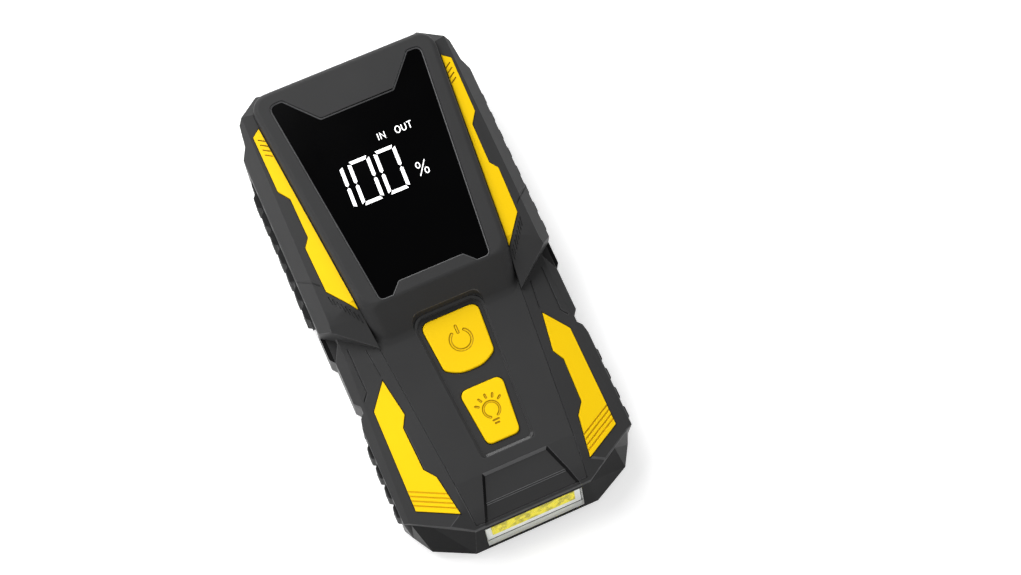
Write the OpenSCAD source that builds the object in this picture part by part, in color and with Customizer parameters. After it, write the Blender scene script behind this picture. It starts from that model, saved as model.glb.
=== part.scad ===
// Jump starter pack: a chiselled two-shell housing around a four-cell lithium battery,
// with a raised screen, two sprung buttons, an end work light and ports under a side flap.
// The pack lies on its back: +X is its width, +Y its screen end, +Z the way the screen faces.

/* [Overall] */
// Width across the ribs of the side grips
pack_w = 100; // [98:1:106]
// Length from the ears to the light end
pack_l = 194; // [190:1:204]
// Height from the feet to the rim of the screen housing
pack_h = 44; // [43:0.5:48]
// Thickness of the moulded walls
wall = 2.2; // [1.8:0.1:2.6]
// Height of the joint line between the two shells
part_z = 22; // [21.5:0.5:23]
// Clearance between pieces that are fitted together
fit = 0.3; // [0.2:0.05:0.4]

/* [Armour] */
// Distance that the grips stand out of each side of the upper armour
grip_proud = 2; // [1.6:0.1:2.4]
// Step from the side of the upper armour in to the waist
waist_step = 1.7; // [1:0.1:2.5]
// Step from the side of the upper armour in to the lower armour
tail_step = 1; // [0.5:0.1:1.5]
// Distance from the side of the upper armour in to the upper edge of its chamfer
chamfer_run = 5.5; // [4.5:0.1:6.2]
// Drop from the rim of the housing to the shoulders
shoulder_drop = 4.4; // [3.6:0.2:5]
// Fall of the shoulders towards the sides, in degrees
shoulder_slope = 8; // [6:1:10]
// Fall of the upper side chamfers, in degrees
ridge_slope = 60; // [56:1:62]
// Fall of the lower flanks, in degrees
flank_slope = 15; // [12:1:16]
// Length of the waist along the sides
waist_l = 18; // [16:1:20]
// Slant of the light end across the height of the rear shell
end_rake = 5.5; // [4.5:0.5:6]

/* [Centre panel] */
// Width of each shoulder beside the centre panel, at the screen end
shoulder_w = 9.4; // [9:0.1:10.5]
// Margin of the centre panel on each side of the light window
panel_margin = 2.7; // [2.2:0.1:3.2]
// Length of the raised screen housing
housing_l = 107; // [105:1:109]
// Corner radius of the housing at the screen end
housing_r = 7; // [5:0.5:9]
// Radius that rounds the rim of the housing
rim_r = 2.4; // [2:0.2:3]
// Height of the button face above the joint line
face_rise = 9; // [8.5:0.5:10]

/* [Screen] */
// Length of the screen opening
screen_l = 88.4; // [86:0.4:90]
// Width of the screen opening at its wide end
screen_w_top = 63.8; // [60:0.2:65]
// Width of the screen opening at its narrow end
screen_w_end = 45.4; // [43:0.2:46]
// Depth of the upper tab that reaches into the screen
upper_tab_l = 12.6; // [9:0.2:15]
// Width of the upper tab at its tip
upper_tab_w = 30; // [26:1:34]
// Depth of the lower tab that reaches into the screen
lower_tab_l = 4.2; // [3:0.2:6]
// Width of the lower tab at its tip
lower_tab_w = 26; // [22:1:30]
// Thickness of the window
glass_t = 1.2; // [1:0.1:1.5]
// Depth of the window below the rim
glass_drop = 0.8; // [0.4:0.1:1]

/* [Buttons] */
// Length of the recessed button field
field_l = 59.5; // [58:0.5:60.5]
// Width of the button field at its wide end
field_w_top = 29; // [28:0.5:31]
// Width of the button field at its narrow end
field_w_end = 21.4; // [21:0.2:24]
// Depth of the button field
field_d = 1; // [0.6:0.1:1.1]
// Width of the power button at its upper edge
power_w = 23.6; // [21:0.2:24]
// Length of the power button
power_l = 23.4; // [21:0.2:24]
// Width of the light button at its upper edge
light_w = 17.6; // [15:0.2:18]
// Length of the light button
light_l = 22.8; // [20:0.2:23]
// Travel of the buttons
button_travel = 0.6; // [0.4:0.1:0.8]
// Height of the button caps above the floor of their field
button_proud = 1.1; // [0.8:0.1:1.4]

/* [Trim] */
// Thickness of the coloured strips
strip_t = 1.4; // [1.2:0.1:1.6]
// Depth of the pockets that the strips lie in
strip_pocket = 1; // [0.8:0.1:1.1]
// Width of the moulded panel lines
line_w = 0.6; // [0.4:0.1:0.8]
// Depth of the moulded panel lines
line_d = 0.5; // [0.3:0.1:0.6]

/* [Grips and flap] */
// Height of the grips and of the port flap
grip_h = 15; // [14:0.5:15.5]
// Length of the upper grip and of the recess behind the port flap
grip_l = 68; // [66:1:70]
// Length of the lower grips
tail_grip_l = 37; // [34:1:39]
// Height of the ribs on grips and flap
rib_h = 1.4; // [1:0.1:1.8]
// Distance from one rib to the next
rib_pitch = 8.2; // [7:0.2:10]
// Depth of the recess behind the port flap
port_recess_d = 5; // [4.6:0.1:5.4]
// Thickness of the port flap
flap_t = 4.1; // [3.8:0.1:4.3]
// Length of the finger notch at the free end of the flap
finger_notch_l = 4.5; // [4:0.5:6]
// Diameter of the hinge pin of the flap
pin_d = 1.8; // [1.6:0.1:2]

/* [Ports] */
// Length of the high-current socket
socket_l = 21; // [20:0.5:22]
// Height of the high-current socket
socket_h = 11; // [10:0.5:12]
// Bore of the contacts in the high-current socket
contact_bore = 5; // [4.6:0.1:5.2]
// Distance between the two contacts
contact_pitch = 10; // [9.4:0.2:10.6]
// Depth of the contacts
contact_l = 12; // [11:0.5:13]

/* [Work light] */
// Width of the light window
light_win_w = 39.6; // [36:0.4:41]
// Height of the light window along the slanted end
light_win_h = 14.4; // [13:0.2:14.8]
// Thickness of the light window
lens_t = 2; // [1.6:0.1:2.4]

/* [Inside] */
// Width of a battery cell
cell_w = 50; // [46:1:52]
// Length of a battery cell
cell_l = 80; // [74:1:81]
// Thickness of a battery cell
cell_t = 7.2; // [6.8:0.1:7.2]
// Thickness of the circuit boards
board_t = 1.6; // [1.2:0.1:1.6]
// Diameter of the screws' shanks
screw_d = 2.8; // [2.5:0.1:3]
// Diameter of the feet
foot_d = 11; // [9:0.5:13]
// Height that the feet stand out of the rear shell
foot_h = 1; // [0.8:0.1:1.2]

/* [Hidden] */
$fn = 48;
FOAM_MIN = 1.2;
TRAY_SHARE = 0.12;
MOSFETS = 6;
MOSFET_SIZE = [6.6, 9.2, 2.3];
MOSFET_STEP = 8.4;
MOSFET_Y = 12;
CAPACITORS = 3;
CAPACITOR_D = 8;
CAPACITOR_STEP = 14;
CAPACITOR_Y = 32;
CAPACITOR_GAP = 0.25;
BUS_T = 1.5;
BUS_RUN = 1.8;
BOSS_R = 3.6;
ROOT_D = 0.5;
SCREW_HEAD = [5.4, 2.2];
BOARD_HEAD = [3.6, 1.3];
SCREW_BITE = 4.2;
SCREW_SHANK_L = 9.5;
BOARD_SCREW_D = 1.8;
PILOT_PLAY = 0.1;
BOARD_SCREW_L = 4.2;
LEDGE_W = 2.6;
UPPER_TAB_INSET = 5.9;
SCREEN_RADII = [0.8, 1.2, 2.6, 2.2, 0.8, 0.8];
GROOVE_D = 0.4;
HATCH_COUNT = 8;
HATCH_STEP = [1.1, 1.5];
HATCH_W = 0.5;
STEP_TOP_W = 26.4;
STEP_SLOPE = 6;
STEP_D = 1.2;
END_SLOPE = 28;
BACK_SLOPE = 35;
WING_SLOPE = 18;
TAIL_CHAMFER_SLOPE = 40;
HOUSING_SLOPE_L = 12.4;
FOOT_R = 5;
BROW_R = 2;
FOOT_CORNER_R = 6;
HOUSING_END_WALL = 4.4;
POCKET_W = 3.4;
POCKET_FLOOR_T = 1.4;
SCREEN_LEDGE_W = 1.6;
PANEL_ROOF_T = 1.6;
DISPLAY_GAP = 2.75;
DISPLAY_L = 76;
DISPLAY_T = 4;
FLANGE_T = 1.2;
SWITCH_H = 3.8;
POST_X = 13.5;
POST_R = 2.4;
LIGHT_Z = 8.1;
BASE_INSET = 4;
RIB_GAP = 1.6;
RIB_SIDE = 0.8;
PIVOT_R = 2.2;
FLAP_LIP = 1.5;
PIN_SEAT_L = 1.8;
LIGHT_STACK_T = 5.4;
PHOSPHOR_H = 6.4;
PHOSPHOR_INSET = 2.6;
USB_A_W = 13.2;
USB_A_H = 5.7;
USB_A_L = 12;
USB_C_W = 9;
USB_C_H = 3.3;
USB_C_L = 8;
USB_WALL = 0.4;
CONTACT_WALL = 0.6;
PORT_BOARD_W = 11;
BOARD_INSET = 17;
SUPPORT_INSET = 6.5;
SUPPORT_R = 3;
TRAY_WALL = 1.4;
FOOT_INSET = 16;
FOOT_Y = [30, 34];
FOOT_EDGE = 0.5;
OVER = 1;
FAR = 260;
armour_x = pack_w / 2 - grip_proud;
waist_x = armour_x - waist_step;
tail_x = armour_x - tail_step;
chamfer_x = armour_x - chamfer_run;
panel_x = armour_x - shoulder_w;
panel_end_x = light_win_w / 2 + panel_margin;
strip_x = armour_x - 6.6;
y_top = pack_l / 2;
y_end = -pack_l / 2;
back_y = y_top - 1.6;
house_y = back_y - 2;
foot_y = house_y - housing_l;
panel_end_y = y_end + end_rake + 1.5;
screen_y = house_y - 5.7;
screen_end_y = screen_y - screen_l;
shoulder_z = pack_h - shoulder_drop;
face_z = part_z + face_rise;
field_z = face_z - field_d;
field_floor_z = field_z - 1.6;
glass_z = pack_h - glass_drop - glass_t;
ledge_z = part_z + 1.6;
base_z = foot_h;
floor_z = base_z + wall + 0.2;
belt_z = base_z + 4.5;
taper = atan((panel_x - panel_end_x) / (house_y - panel_end_y));
wing_y = foot_y + 14.2;
step_y = y_end + 23.4;
ridge_y = y_end + 12.5;
field_y = foot_y + 4.6;
power_y = field_y - 3.1;
light_y = power_y - power_l - 6.4;
nub_y = foot_y + 5;
notch_y = nub_y - 2 - waist_l;
end_tilt = atan(end_rake / (part_z - belt_z));
flange_z = field_floor_z - 0.15 - FLANGE_T;
board_top_z = flange_z - button_travel - 0.1 - SWITCH_H;
display_board_z = glass_z - PANEL_ROOF_T - DISPLAY_T - board_t;
display_y = screen_end_y + 7;
grip_z = base_z + 3.5;
grip_y1 = y_top - 24.5;
grip_y0 = grip_y1 - grip_l;
tail_grip_y1 = notch_y - 10.5;
tail_grip_y0 = tail_grip_y1 - tail_grip_l;
face_x = pack_w / 2 - rib_h;
port_floor_x = armour_x - port_recess_d;
flap_y0 = grip_y0 + finger_notch_l;
pivot_x = face_x - PIVOT_R - 0.1;
pivot_y = grip_y1 - PIVOT_R - 1.1;
port_z = grip_z + grip_h / 2;
socket_y = grip_y0 + 18;
usb_a_y = socket_y + socket_l / 2 + 11;
usb_c_y = usb_a_y + 14;
cell_y0 = foot_y + 18.6;
tray_floor_z = floor_z + 1;
main_board_z = floor_z + 7.6;
board_y1 = foot_y + 6;
board_y0 = y_end + 24;
grip_floor_x = armour_x - 2;
upper_screw_y = grip_y1 + 5.6;
tail_floor_x = tail_x - 2.4;
port_board_z = port_z - USB_A_H / 2 - board_t;
usb_c_z = port_z - USB_A_H / 2 + USB_C_H / 2;
screw_seat_z = part_z - SCREW_SHANK_L;
display_w = 2 * (side_x(display_y) - wall - DISPLAY_GAP);
board_w = 2 * (armour_x - BOARD_INSET);
upper_screw_x = side_x(upper_screw_y) + screw_d / 2 + 1;
bus_x = -port_floor_x + contact_l + BUS_RUN;
tray_w = cell_w + 2 * TRAY_WALL;
tray_room = upper_screw_x - BOSS_R - bus_x - BUS_T - tray_w;
cell_x0 = bus_x + BUS_T + tray_room * TRAY_SHARE + TRAY_WALL;
// As many cells as fit between the tray and the display board, with the foam pad on top
cells = floor((display_board_z - tray_floor_z - FOAM_MIN) / cell_t);
cells_top_z = tray_floor_z + cells * cell_t;
part_top_z = main_board_z + board_t;
capacitor_h = board_top_z - board_t - BOARD_HEAD.y - CAPACITOR_GAP - part_top_z;

function unit(v) = v / norm(v);
function flip_x(p) = [for (i = [len(p) - 1:-1:0]) [-p[i].x, p[i].y]];
function closed(half) = concat(half, flip_x(half));
// Half width of the centre panel at a place along the pack
function side_x(y) = panel_end_x + (y - panel_end_y) * tan(taper);

// A clockwise outline moved inwards by d with its corners kept sharp
function inset(p, d) = [for (i = [0:len(p) - 1])
    let (
        u = unit(p[i] - p[(i + len(p) - 1) % len(p)]),
        v = unit(p[(i + 1) % len(p)] - p[i]),
        m = [u.y + v.y, -u.x - v.x]
    )
    p[i] + m * d / (1 + u * v)];

// The arc that rounds corner b, between a and c, with radius r
function arc_at(a, b, c, r, n) =
    let (
        u = unit(a - b),
        v = unit(c - b),
        half = acos(u * v) / 2,
        o = b + unit(u + v) * r / sin(half),
        p = b + u * r / tan(half) - o,
        q = b + v * r / tan(half) - o,
        a0 = atan2(p.y, p.x),
        turn = (atan2(q.y, q.x) - a0 + 540) % 360 - 180
    )
    [for (k = [0:n]) o + r * [cos(a0 + turn * k / n), sin(a0 + turn * k / n)]];

// An outline with each corner rounded by its own radius
function rounded(p, r, n = 5) = [for (i = [0:len(p) - 1])
    each arc_at(p[(i + len(p) - 1) % len(p)], p[i], p[(i + 1) % len(p)], r[i], n)];

// Outlines, each clockwise; the half outlines run from the screen end to the light end
rear_half = [
    [armour_x - 20, back_y], [armour_x - 14, y_top], [armour_x - 3.7, y_top - 9.3],
    [armour_x - 2.5, y_top - 17.4], [armour_x, y_top - 20.8], [armour_x, nub_y],
    [waist_x, nub_y - 2], [waist_x, notch_y], [waist_x - 2, notch_y - 2.5],
    [waist_x - 2, notch_y - 5], [tail_x - 1, notch_y - 6.5], [tail_x, notch_y - 10.5],
    [tail_x, y_end + 19], [tail_x - 2, y_end + 15], [tail_x - 6.5, y_end + 7.5],
    [light_win_w / 2 + 5.7, y_end]
];
joint_half = concat(
    [for (i = [0:12]) rear_half[i]],
    [
        [tail_x - 2.6, y_end + 17.6], [tail_x - 9.6, y_end + end_rake + 8],
        [light_win_w / 2 + 3.8, y_end + end_rake]
    ]
);
armour_half = concat(
    [for (i = [0:4]) rear_half[i]],
    [[armour_x, wing_y], [side_x(foot_y - 2) - 1, foot_y - 2]]
);
tail_half = concat(
    [[waist_x, wing_y + 10]],
    [for (i = [6:15]) joint_half[i]]
);
// Pocket under the lower edge of each wing, at the upper end of the waist
pocket = [
    [waist_x - POCKET_W, y_top], [armour_x + OVER, y_top],
    [armour_x + OVER, nub_y - 7.6], [waist_x - POCKET_W, nub_y + 3.6]
];

// The centre panel's plan, moved inwards by d and ending at a given place
function panel_shape(d, end_y = panel_end_y) = rounded(
    inset(closed([[side_x(house_y), house_y], [side_x(end_y), end_y]]), d),
    [max(housing_r - d, 0.5), 0.5, 0.5, max(housing_r - d, 0.5)]
);
// The plan of the screen, with the two tabs that reach into it, moved inwards by d
function screen_shape(d) = rounded(
    inset(closed([
        [upper_tab_w / 2, screen_y - upper_tab_l], [screen_w_top / 2 - UPPER_TAB_INSET, screen_y],
        [screen_w_top / 2, screen_y], [screen_w_end / 2, screen_end_y],
        [lower_tab_w / 2 + 4, screen_end_y], [lower_tab_w / 2, screen_end_y + lower_tab_l]
    ]), d),
    [for (r = concat(SCREEN_RADII, [for (i = [5:-1:0]) SCREEN_RADII[i]])) max(r - d, 0.5)], 3
);
// The plan of the button field, moved outwards by d
function field_shape(d) = rounded(
    inset(closed([[field_w_top / 2, field_y], [field_w_end / 2, field_y - field_l]]), -d),
    [4, 1.6, 1.6, 4]
);
// The plans of the two buttons, moved outwards by d
function power_shape(d) = rounded(
    inset(closed([
        [power_w / 2, power_y], [power_w / 2 - 1.5, power_y - power_l + 3.4], [5, power_y - power_l]
    ]), -d),
    [3, 2.6, 12, 12, 2.6, 3], 4
);
function light_shape(d) = rounded(
    inset(closed([[light_w / 2, light_y], [light_w / 2 - 2.2, light_y - light_l]]), -d),
    [2.8, 2.4, 2.4, 2.8], 4
);
// The lower end of the screen housing as [y, height]: its filleted foot and its brow
foot_arc = arc_at([y_end, face_z], [foot_y, face_z], [foot_y + HOUSING_SLOPE_L, pack_h], FOOT_R, 4);
brow_arc = arc_at([foot_y, face_z], [foot_y + HOUSING_SLOPE_L, pack_h], [y_top, pack_h], BROW_R, 3);
housing_end = [for (p = concat(foot_arc, brow_arc)) [p.y, p.x]];
// The plan of the screen housing at height z, its sides moved inwards by d
function housing_shape(z, d) = let (end_y = lookup(z, housing_end) - d) rounded(
    inset(closed([[side_x(house_y), house_y], [side_x(end_y), end_y]]), d),
    [max(housing_r - d, 0.5), FOOT_CORNER_R, FOOT_CORNER_R, max(housing_r - d, 0.5)], 8
);
step_outline = closed([
    [STEP_TOP_W / 2, step_y], [light_win_w / 2 - 0.3, panel_end_y - 1], [light_win_w / 2, y_end - OVER]
]);
// The coloured strips lie beside the centre panel; their outer edges step in and out
upper_strip = [
    [side_x(house_y - 11.4) + 0.6, house_y - 11.4], [strip_x, house_y - 13.7],
    [strip_x - 0.4, house_y - 37.5], [strip_x - 3.6, house_y - 42.2], [strip_x - 3.9, house_y - 59],
    [strip_x - 1.4, house_y - 62.4], [strip_x - 2, house_y - 81.2],
    [side_x(house_y - 92.2) + 0.6, house_y - 92.2]
];
lower_strip = [
    [side_x(foot_y - 12.4) + 4.9, foot_y - 12.4], [tail_x - 6.5, foot_y - 21.6],
    [tail_x - 6, y_end + 21.1], [side_x(y_end + 13) + 3.4, y_end + 13],
    [side_x(y_end + 29.2) + 4.6, y_end + 29.2], [side_x(y_end + 33.8) + 7.6, y_end + 33.8],
    [side_x(foot_y - 32) + 6.7, foot_y - 32], [side_x(foot_y - 27.7) + 3.8, foot_y - 27.7]
];

// Straight block over an outline, from height z0 to z1
module prism(points, z0, z1) {
    translate([0, 0, z0]) linear_extrude(z1 - z0) polygon(points);
}

// The same shape on both sides of the pack
module both_sides() {
    children();
    mirror([1, 0, 0]) children();
}

// Solid through a stack of clockwise outlines with equal counts; a level is [height, outline]
module loft(levels) {
    n = len(levels[0][1]);
    m = len(levels);
    points = [for (l = levels) for (q = l[1]) [q.x, q.y, l[0]]];
    sides = [for (j = [0:m - 2]) for (i = [0:n - 1])
        let (a = j * n + i, b = j * n + (i + 1) % n)
        each [[a, b, b + n], [a, b + n, a + n]]];
    caps = [[for (i = [n - 1:-1:0]) i], [for (i = [0:n - 1]) (m - 1) * n + i]];
    polyhedron(points, concat(sides, caps));
}

// All that is above a plane which falls away from a crease through p at height z
module above_slope(p, turn, z, slope) {
    translate([p.x, p.y, z]) rotate([0, 0, turn]) rotate([90, 0, 0])
        translate([0, 0, -FAR]) linear_extrude(2 * FAR)
            polygon([[0, 0], [FAR, -FAR * tan(slope)], [FAR, FAR], [0, FAR]]);
}

// The two slopes by which the button face falls to the light end
module above_end_slopes() {
    above_slope([0, step_y], -90, face_z, STEP_SLOPE);
    above_slope([0, ridge_y], -90, face_z - (step_y - ridge_y) * tan(STEP_SLOPE), END_SLOPE);
}

// Upper armour: shoulders beside the screen housing, side chamfers, ears and wings
module armour_form(d) {
    difference() {
        prism(inset(closed(armour_half), d), part_z, shoulder_z);
        both_sides() {
            above_slope([side_x(foot_y), foot_y], -taper, shoulder_z, shoulder_slope);
            above_slope([chamfer_x, 0], 0, shoulder_z - 0.6, ridge_slope);
        }
        above_slope([0, back_y - 7], 90, shoulder_z, BACK_SLOPE);
        above_slope([0, wing_y + 4], -90, shoulder_z - 0.4, WING_SLOPE);
    }
}

// Waist and lower armour: flanks that fall from the button face to the sides
module tail_form(d) {
    difference() {
        prism(inset(closed(tail_half), d), part_z, face_z);
        both_sides() {
            above_slope([side_x(foot_y), foot_y], -taper, face_z, flank_slope);
            above_slope([chamfer_x, 0], 0, face_z - 3.6, TAIL_CHAMFER_SLOPE);
            prism(inset(pocket, -d), part_z + POCKET_FLOOR_T, pack_h);
        }
        above_end_slopes();
    }
}

module front_form(d = 0) {
    armour_form(d);
    tail_form(d);
}

// The part of a shape that lies above the front shell's surface lowered by a depth
module sunk(depth) {
    difference() {
        children();
        translate([0, 0, -depth]) front_form();
    }
}

// A panel line from a to b, as tall as the pack
module panel_line(a, b, w = line_w) {
    n = [-unit(b - a).y, unit(b - a).x] * w / 2;
    prism([a + n, b + n, b - n, a - n], part_z + OVER, pack_h);
}

// Panel lines of the waist and wings, and the hatch below the upper strips
module panel_lines() {
    outer_x = waist_x - 5.9;
    panel_line([outer_x, foot_y + 4.6], [outer_x - 0.2, foot_y - 13.8]);
    panel_line([outer_x - 0.2, foot_y - 13.8], [outer_x + 1.9, foot_y - 16.4]);
    panel_line([outer_x - 6.4, foot_y + 1], [outer_x - 7.6, foot_y - 10.4]);
    panel_line([armour_x - 7.2, wing_y + 14.6], [armour_x + OVER, wing_y + 23.4]);
    for (i = [0:HATCH_COUNT - 1]) {
        y = wing_y + 9.4 - i * HATCH_STEP.y;
        x = strip_x - 1.9 - i * HATCH_STEP.x;
        panel_line([x, y], [x - 0.6, y - 3.6], HATCH_W);
    }
}

// The raised screen housing: its rim is rounded, and its lower end slopes to the face between two
// rounded corners
module housing_form() {
    rim = [for (a = [0:22.5:90]) [pack_h - rim_r * (1 - sin(a)), rim_r * (1 - cos(a))]];
    intersection() {
        loft(concat(
            [for (z = [ledge_z - OVER, face_z - 0.05]) [z, housing_shape(face_z, 0)]],
            [for (i = [1:len(foot_arc) - 1]) [foot_arc[i].y, housing_shape(foot_arc[i].y, 0)]],
            [for (q = rim) [q.x, housing_shape(q.x, q.y)]],
            [[pack_h + OVER, housing_shape(pack_h, rim_r)]]
        ));
        block([-pack_w, -pack_l, ledge_z], [2 * pack_w, 2 * pack_l, pack_h - ledge_z]);
    }
}

// The room in the screen housing, behind its sloping lower end
module housing_room() {
    end_y = foot_y + HOUSING_END_WALL;
    intersection() {
        prism(panel_shape(wall, field_y), ledge_z - OVER, glass_z - PANEL_ROOF_T);
        rotate([90, 0, 90]) translate([0, 0, -pack_w]) linear_extrude(2 * pack_w)
            polygon([
                [end_y, ledge_z - 2 * OVER], [end_y, face_z],
                [end_y + HOUSING_SLOPE_L, pack_h], [y_top, pack_h], [y_top, ledge_z - 2 * OVER]
            ]);
    }
}

// The step in the face that leads down to the work light
module step_cut() {
    difference() {
        prism(step_outline, part_z + OVER, pack_h);
        translate([0, 0, -STEP_D]) difference() {
            translate([-pack_w, y_end - 10, 0]) cube([2 * pack_w, pack_l, face_z]);
            above_end_slopes();
        }
    }
}

// Frame of the slanted light end: its origin is the middle of the window, -Y points outwards
module on_end_face() {
    z = belt_z + LIGHT_Z;
    translate([0, y_end + end_rake * (z - belt_z) / (part_z - belt_z), z])
        rotate([-end_tilt, 0, 0])
            children();
}

// Places of the case screws
module at_case_screws() {
    both_sides()
        for (p = [
            [upper_screw_x, upper_screw_y], [armour_x - 9.5, foot_y - 0.4], [tail_x - 10.5, y_end + 21]
        ])
            translate(p) children();
}

// A block with its lowest corner at p
module block(p, size) {
    translate(p) cube(size);
}

module front_cover() {
    color("#2c2c2e")
    difference() {
        union() {
            difference() {
                front_form();
                translate([0, 0, -wall]) front_form(wall);
            }
            intersection() {
                front_form();
                union() {
                    prism(panel_shape(-fit / 2 - wall), part_z, pack_h);
                    at_case_screws() translate([0, 0, part_z]) cylinder(r = BOSS_R, h = pack_h);
                }
            }
        }
        prism(panel_shape(-fit / 2), ledge_z, pack_h);
        prism(panel_shape(LEDGE_W), part_z - OVER, ledge_z + OVER);
        at_case_screws() translate([0, 0, part_z - OVER])
            cylinder(d = screw_d + PILOT_PLAY, h = SCREW_BITE + OVER);
        both_sides() {
            sunk(strip_pocket) {
                prism(inset(upper_strip, -fit), part_z + OVER, pack_h);
                prism(inset(lower_strip, -fit), part_z + OVER, pack_h);
            }
            sunk(line_d) panel_lines();
        }
        step_cut();
    }
}

module centre_panel() {
    color("#343436")
    difference() {
        union() {
            housing_form();
            difference() {
                prism(panel_shape(0), ledge_z, face_z);
                above_end_slopes();
            }
        }
        prism(screen_shape(-fit / 2), glass_z, pack_h + OVER);
        prism(screen_shape(SCREEN_LEDGE_W), ledge_z, glass_z + OVER);
        housing_room();
        prism(panel_shape(wall, step_y + 2), ledge_z - OVER, field_floor_z);
        loft([
            [field_z, field_shape(-1)], [face_z, field_shape(0.2)], [pack_h + OVER, field_shape(1)]
        ]);
        prism(power_shape(fit), ledge_z, face_z);
        prism(light_shape(fit), ledge_z, face_z);
        step_cut();
    }
    color("#343436")
    difference() {
        at_board_posts() translate([0, 0, board_top_z])
            cylinder(r = POST_R, h = field_floor_z - board_top_z);
        at_board_posts() translate([0, 0, board_top_z - OVER])
            cylinder(d = BOARD_SCREW_D + PILOT_PLAY, h = BOARD_SCREW_L);
    }
}

// Places of the posts that carry the button board
module at_board_posts() {
    both_sides()
        for (y = [power_y - power_l - 3.2, light_y - light_l + 1.5])
            translate([POST_X, y]) children();
}

// A strip that follows the surface of the front shell, sunk in its pocket
module strip(points) {
    difference() {
        intersection() {
            prism(points, part_z + OVER, pack_h);
            translate([0, 0, strip_t - strip_pocket]) front_form();
        }
        translate([0, 0, -strip_pocket]) front_form();
    }
}

// Grooves in the top of a strip, from a to b and then step by step
module strip_grooves(a, b, step, count, w) {
    difference() {
        for (i = [0:count - 1]) panel_line(a + step * i, b + step * i, w);
        translate([0, 0, strip_t - strip_pocket - GROOVE_D]) front_form();
    }
}

module upper_strip_right() {
    color("#ffd60a")
    difference() {
        strip(upper_strip);
        strip_grooves(
            [strip_x - 3.8, house_y - 17.2], [strip_x - 1.2, house_y - 15.4], [-0.1, -2.2], 4, 0.5
        );
    }
}

module upper_strip_left() {
    mirror([1, 0, 0]) upper_strip_right();
}

module lower_strip_right() {
    slant = unit(lower_strip[2] - lower_strip[3]);
    mid = (lower_strip[2] + lower_strip[3]) / 2;
    color("#ffd60a")
    difference() {
        strip(lower_strip);
        strip_grooves(mid - slant * 12 + [0, 2.2], mid + slant * 12 + [0, 2.2], [0, 1.9], 4, 0.6);
    }
}

module lower_strip_left() {
    mirror([1, 0, 0]) lower_strip_right();
}

module display_window() {
    color("#050506") prism(screen_shape(0), glass_z, glass_z + glass_t);
}

module display_panel() {
    color("#1c1c1e") {
        prism(screen_shape(SCREEN_LEDGE_W + fit), glass_z - PANEL_ROOF_T, glass_z - 0.1);
        block(
            [-display_w / 2, display_y, glass_z - PANEL_ROOF_T - DISPLAY_T],
            [display_w, DISPLAY_L, DISPLAY_T]
        );
    }
}

module display_board() {
    color("#1d5a2c")
        block(
            [-display_w / 2 - 1, display_y - 2, display_board_z],
            [display_w + 2, DISPLAY_L + 3, board_t]
        );
}

// A button cap with the flange that keeps it under the floor of its field
module button_cap(cap, flange) {
    prism(cap, flange_z, field_z + button_proud - 0.5);
    loft([[field_z + button_proud - 0.5, cap], [field_z + button_proud, inset(cap, 0.5)]]);
    prism(flange, flange_z, flange_z + FLANGE_T);
}

module power_button() {
    color("#ffd60a") button_cap(power_shape(0), power_shape(fit + 1));
}

module light_button() {
    color("#ffd60a") button_cap(light_shape(0), light_shape(fit + 1));
}

// Tact switches under the middle of each button
module button_switches() {
    color("#3a3a3c")
    for (y = [power_y - power_l / 2, light_y - light_l / 2])
        translate([0, y, board_top_z]) {
            block([-3, -3, 0], [6, 6, SWITCH_H - 1.2]);
            cylinder(d = 3.4, h = SWITCH_H);
        }
}

module button_board() {
    color("#1d5a2c")
    difference() {
        block(
            [-POST_X - 3, light_y - light_l - 1.5, board_top_z - board_t],
            [2 * POST_X + 6, power_y - light_y + light_l - 4, board_t]
        );
        at_board_posts() translate([0, 0, board_top_z - board_t - OVER])
            cylinder(d = BOARD_SCREW_D + fit, h = board_t + 2 * OVER);
    }
}

// Points of a ribbed edge that runs from y0 up to y1 at distance x, with ribs of height rib
function ribbed_edge(x, rib, y0, y1) = let (n = floor((y1 - y0 + RIB_GAP) / rib_pitch)) concat(
    [[x, y0]],
    [for (i = [0:n - 1]) let (y = y0 + RIB_GAP / 2 + i * rib_pitch, l = rib_pitch - RIB_GAP) each [
        [x, y], [x + rib, y + RIB_SIDE], [x + rib, y + l - 2 * RIB_SIDE], [x, y + l]
    ]],
    [[x, y1]]
);

// The solid between the belt's chamfer and the joint line, its walls moved inwards by d; the chamfer
// runs from height z0 up to z1 and the solid from z0 to z2
module rear_form(d, z0, z1, z2) {
    rim = inset(closed(joint_half), d);
    belt = closed(rear_half);
    intersection() {
        loft([
            [z0 - OVER, inset(belt, d + BASE_INSET * (1 + OVER / (z1 - z0)))],
            [z1, inset(belt, d)], [part_z, rim], [part_z + 2 * OVER, rim]
        ]);
        block([-pack_w, -pack_l, z0], [2 * pack_w, 2 * pack_l, z2 - z0]);
    }
}

// The rear shell's outside and the room inside it
module rear_outside() {
    rear_form(0, base_z, belt_z, part_z);
}

module rear_room() {
    rear_form(wall, floor_z, belt_z + wall * 0.6, part_z + OVER);
}

// Room for a grip or the flap in the right side wall, its floor at distance x
module side_recess(x, y0, y1, margin = 0) {
    block([x - margin, y0 - margin, grip_z - margin], [20, y1 - y0 + 2 * margin, grip_h + 2 * margin]);
}

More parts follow.
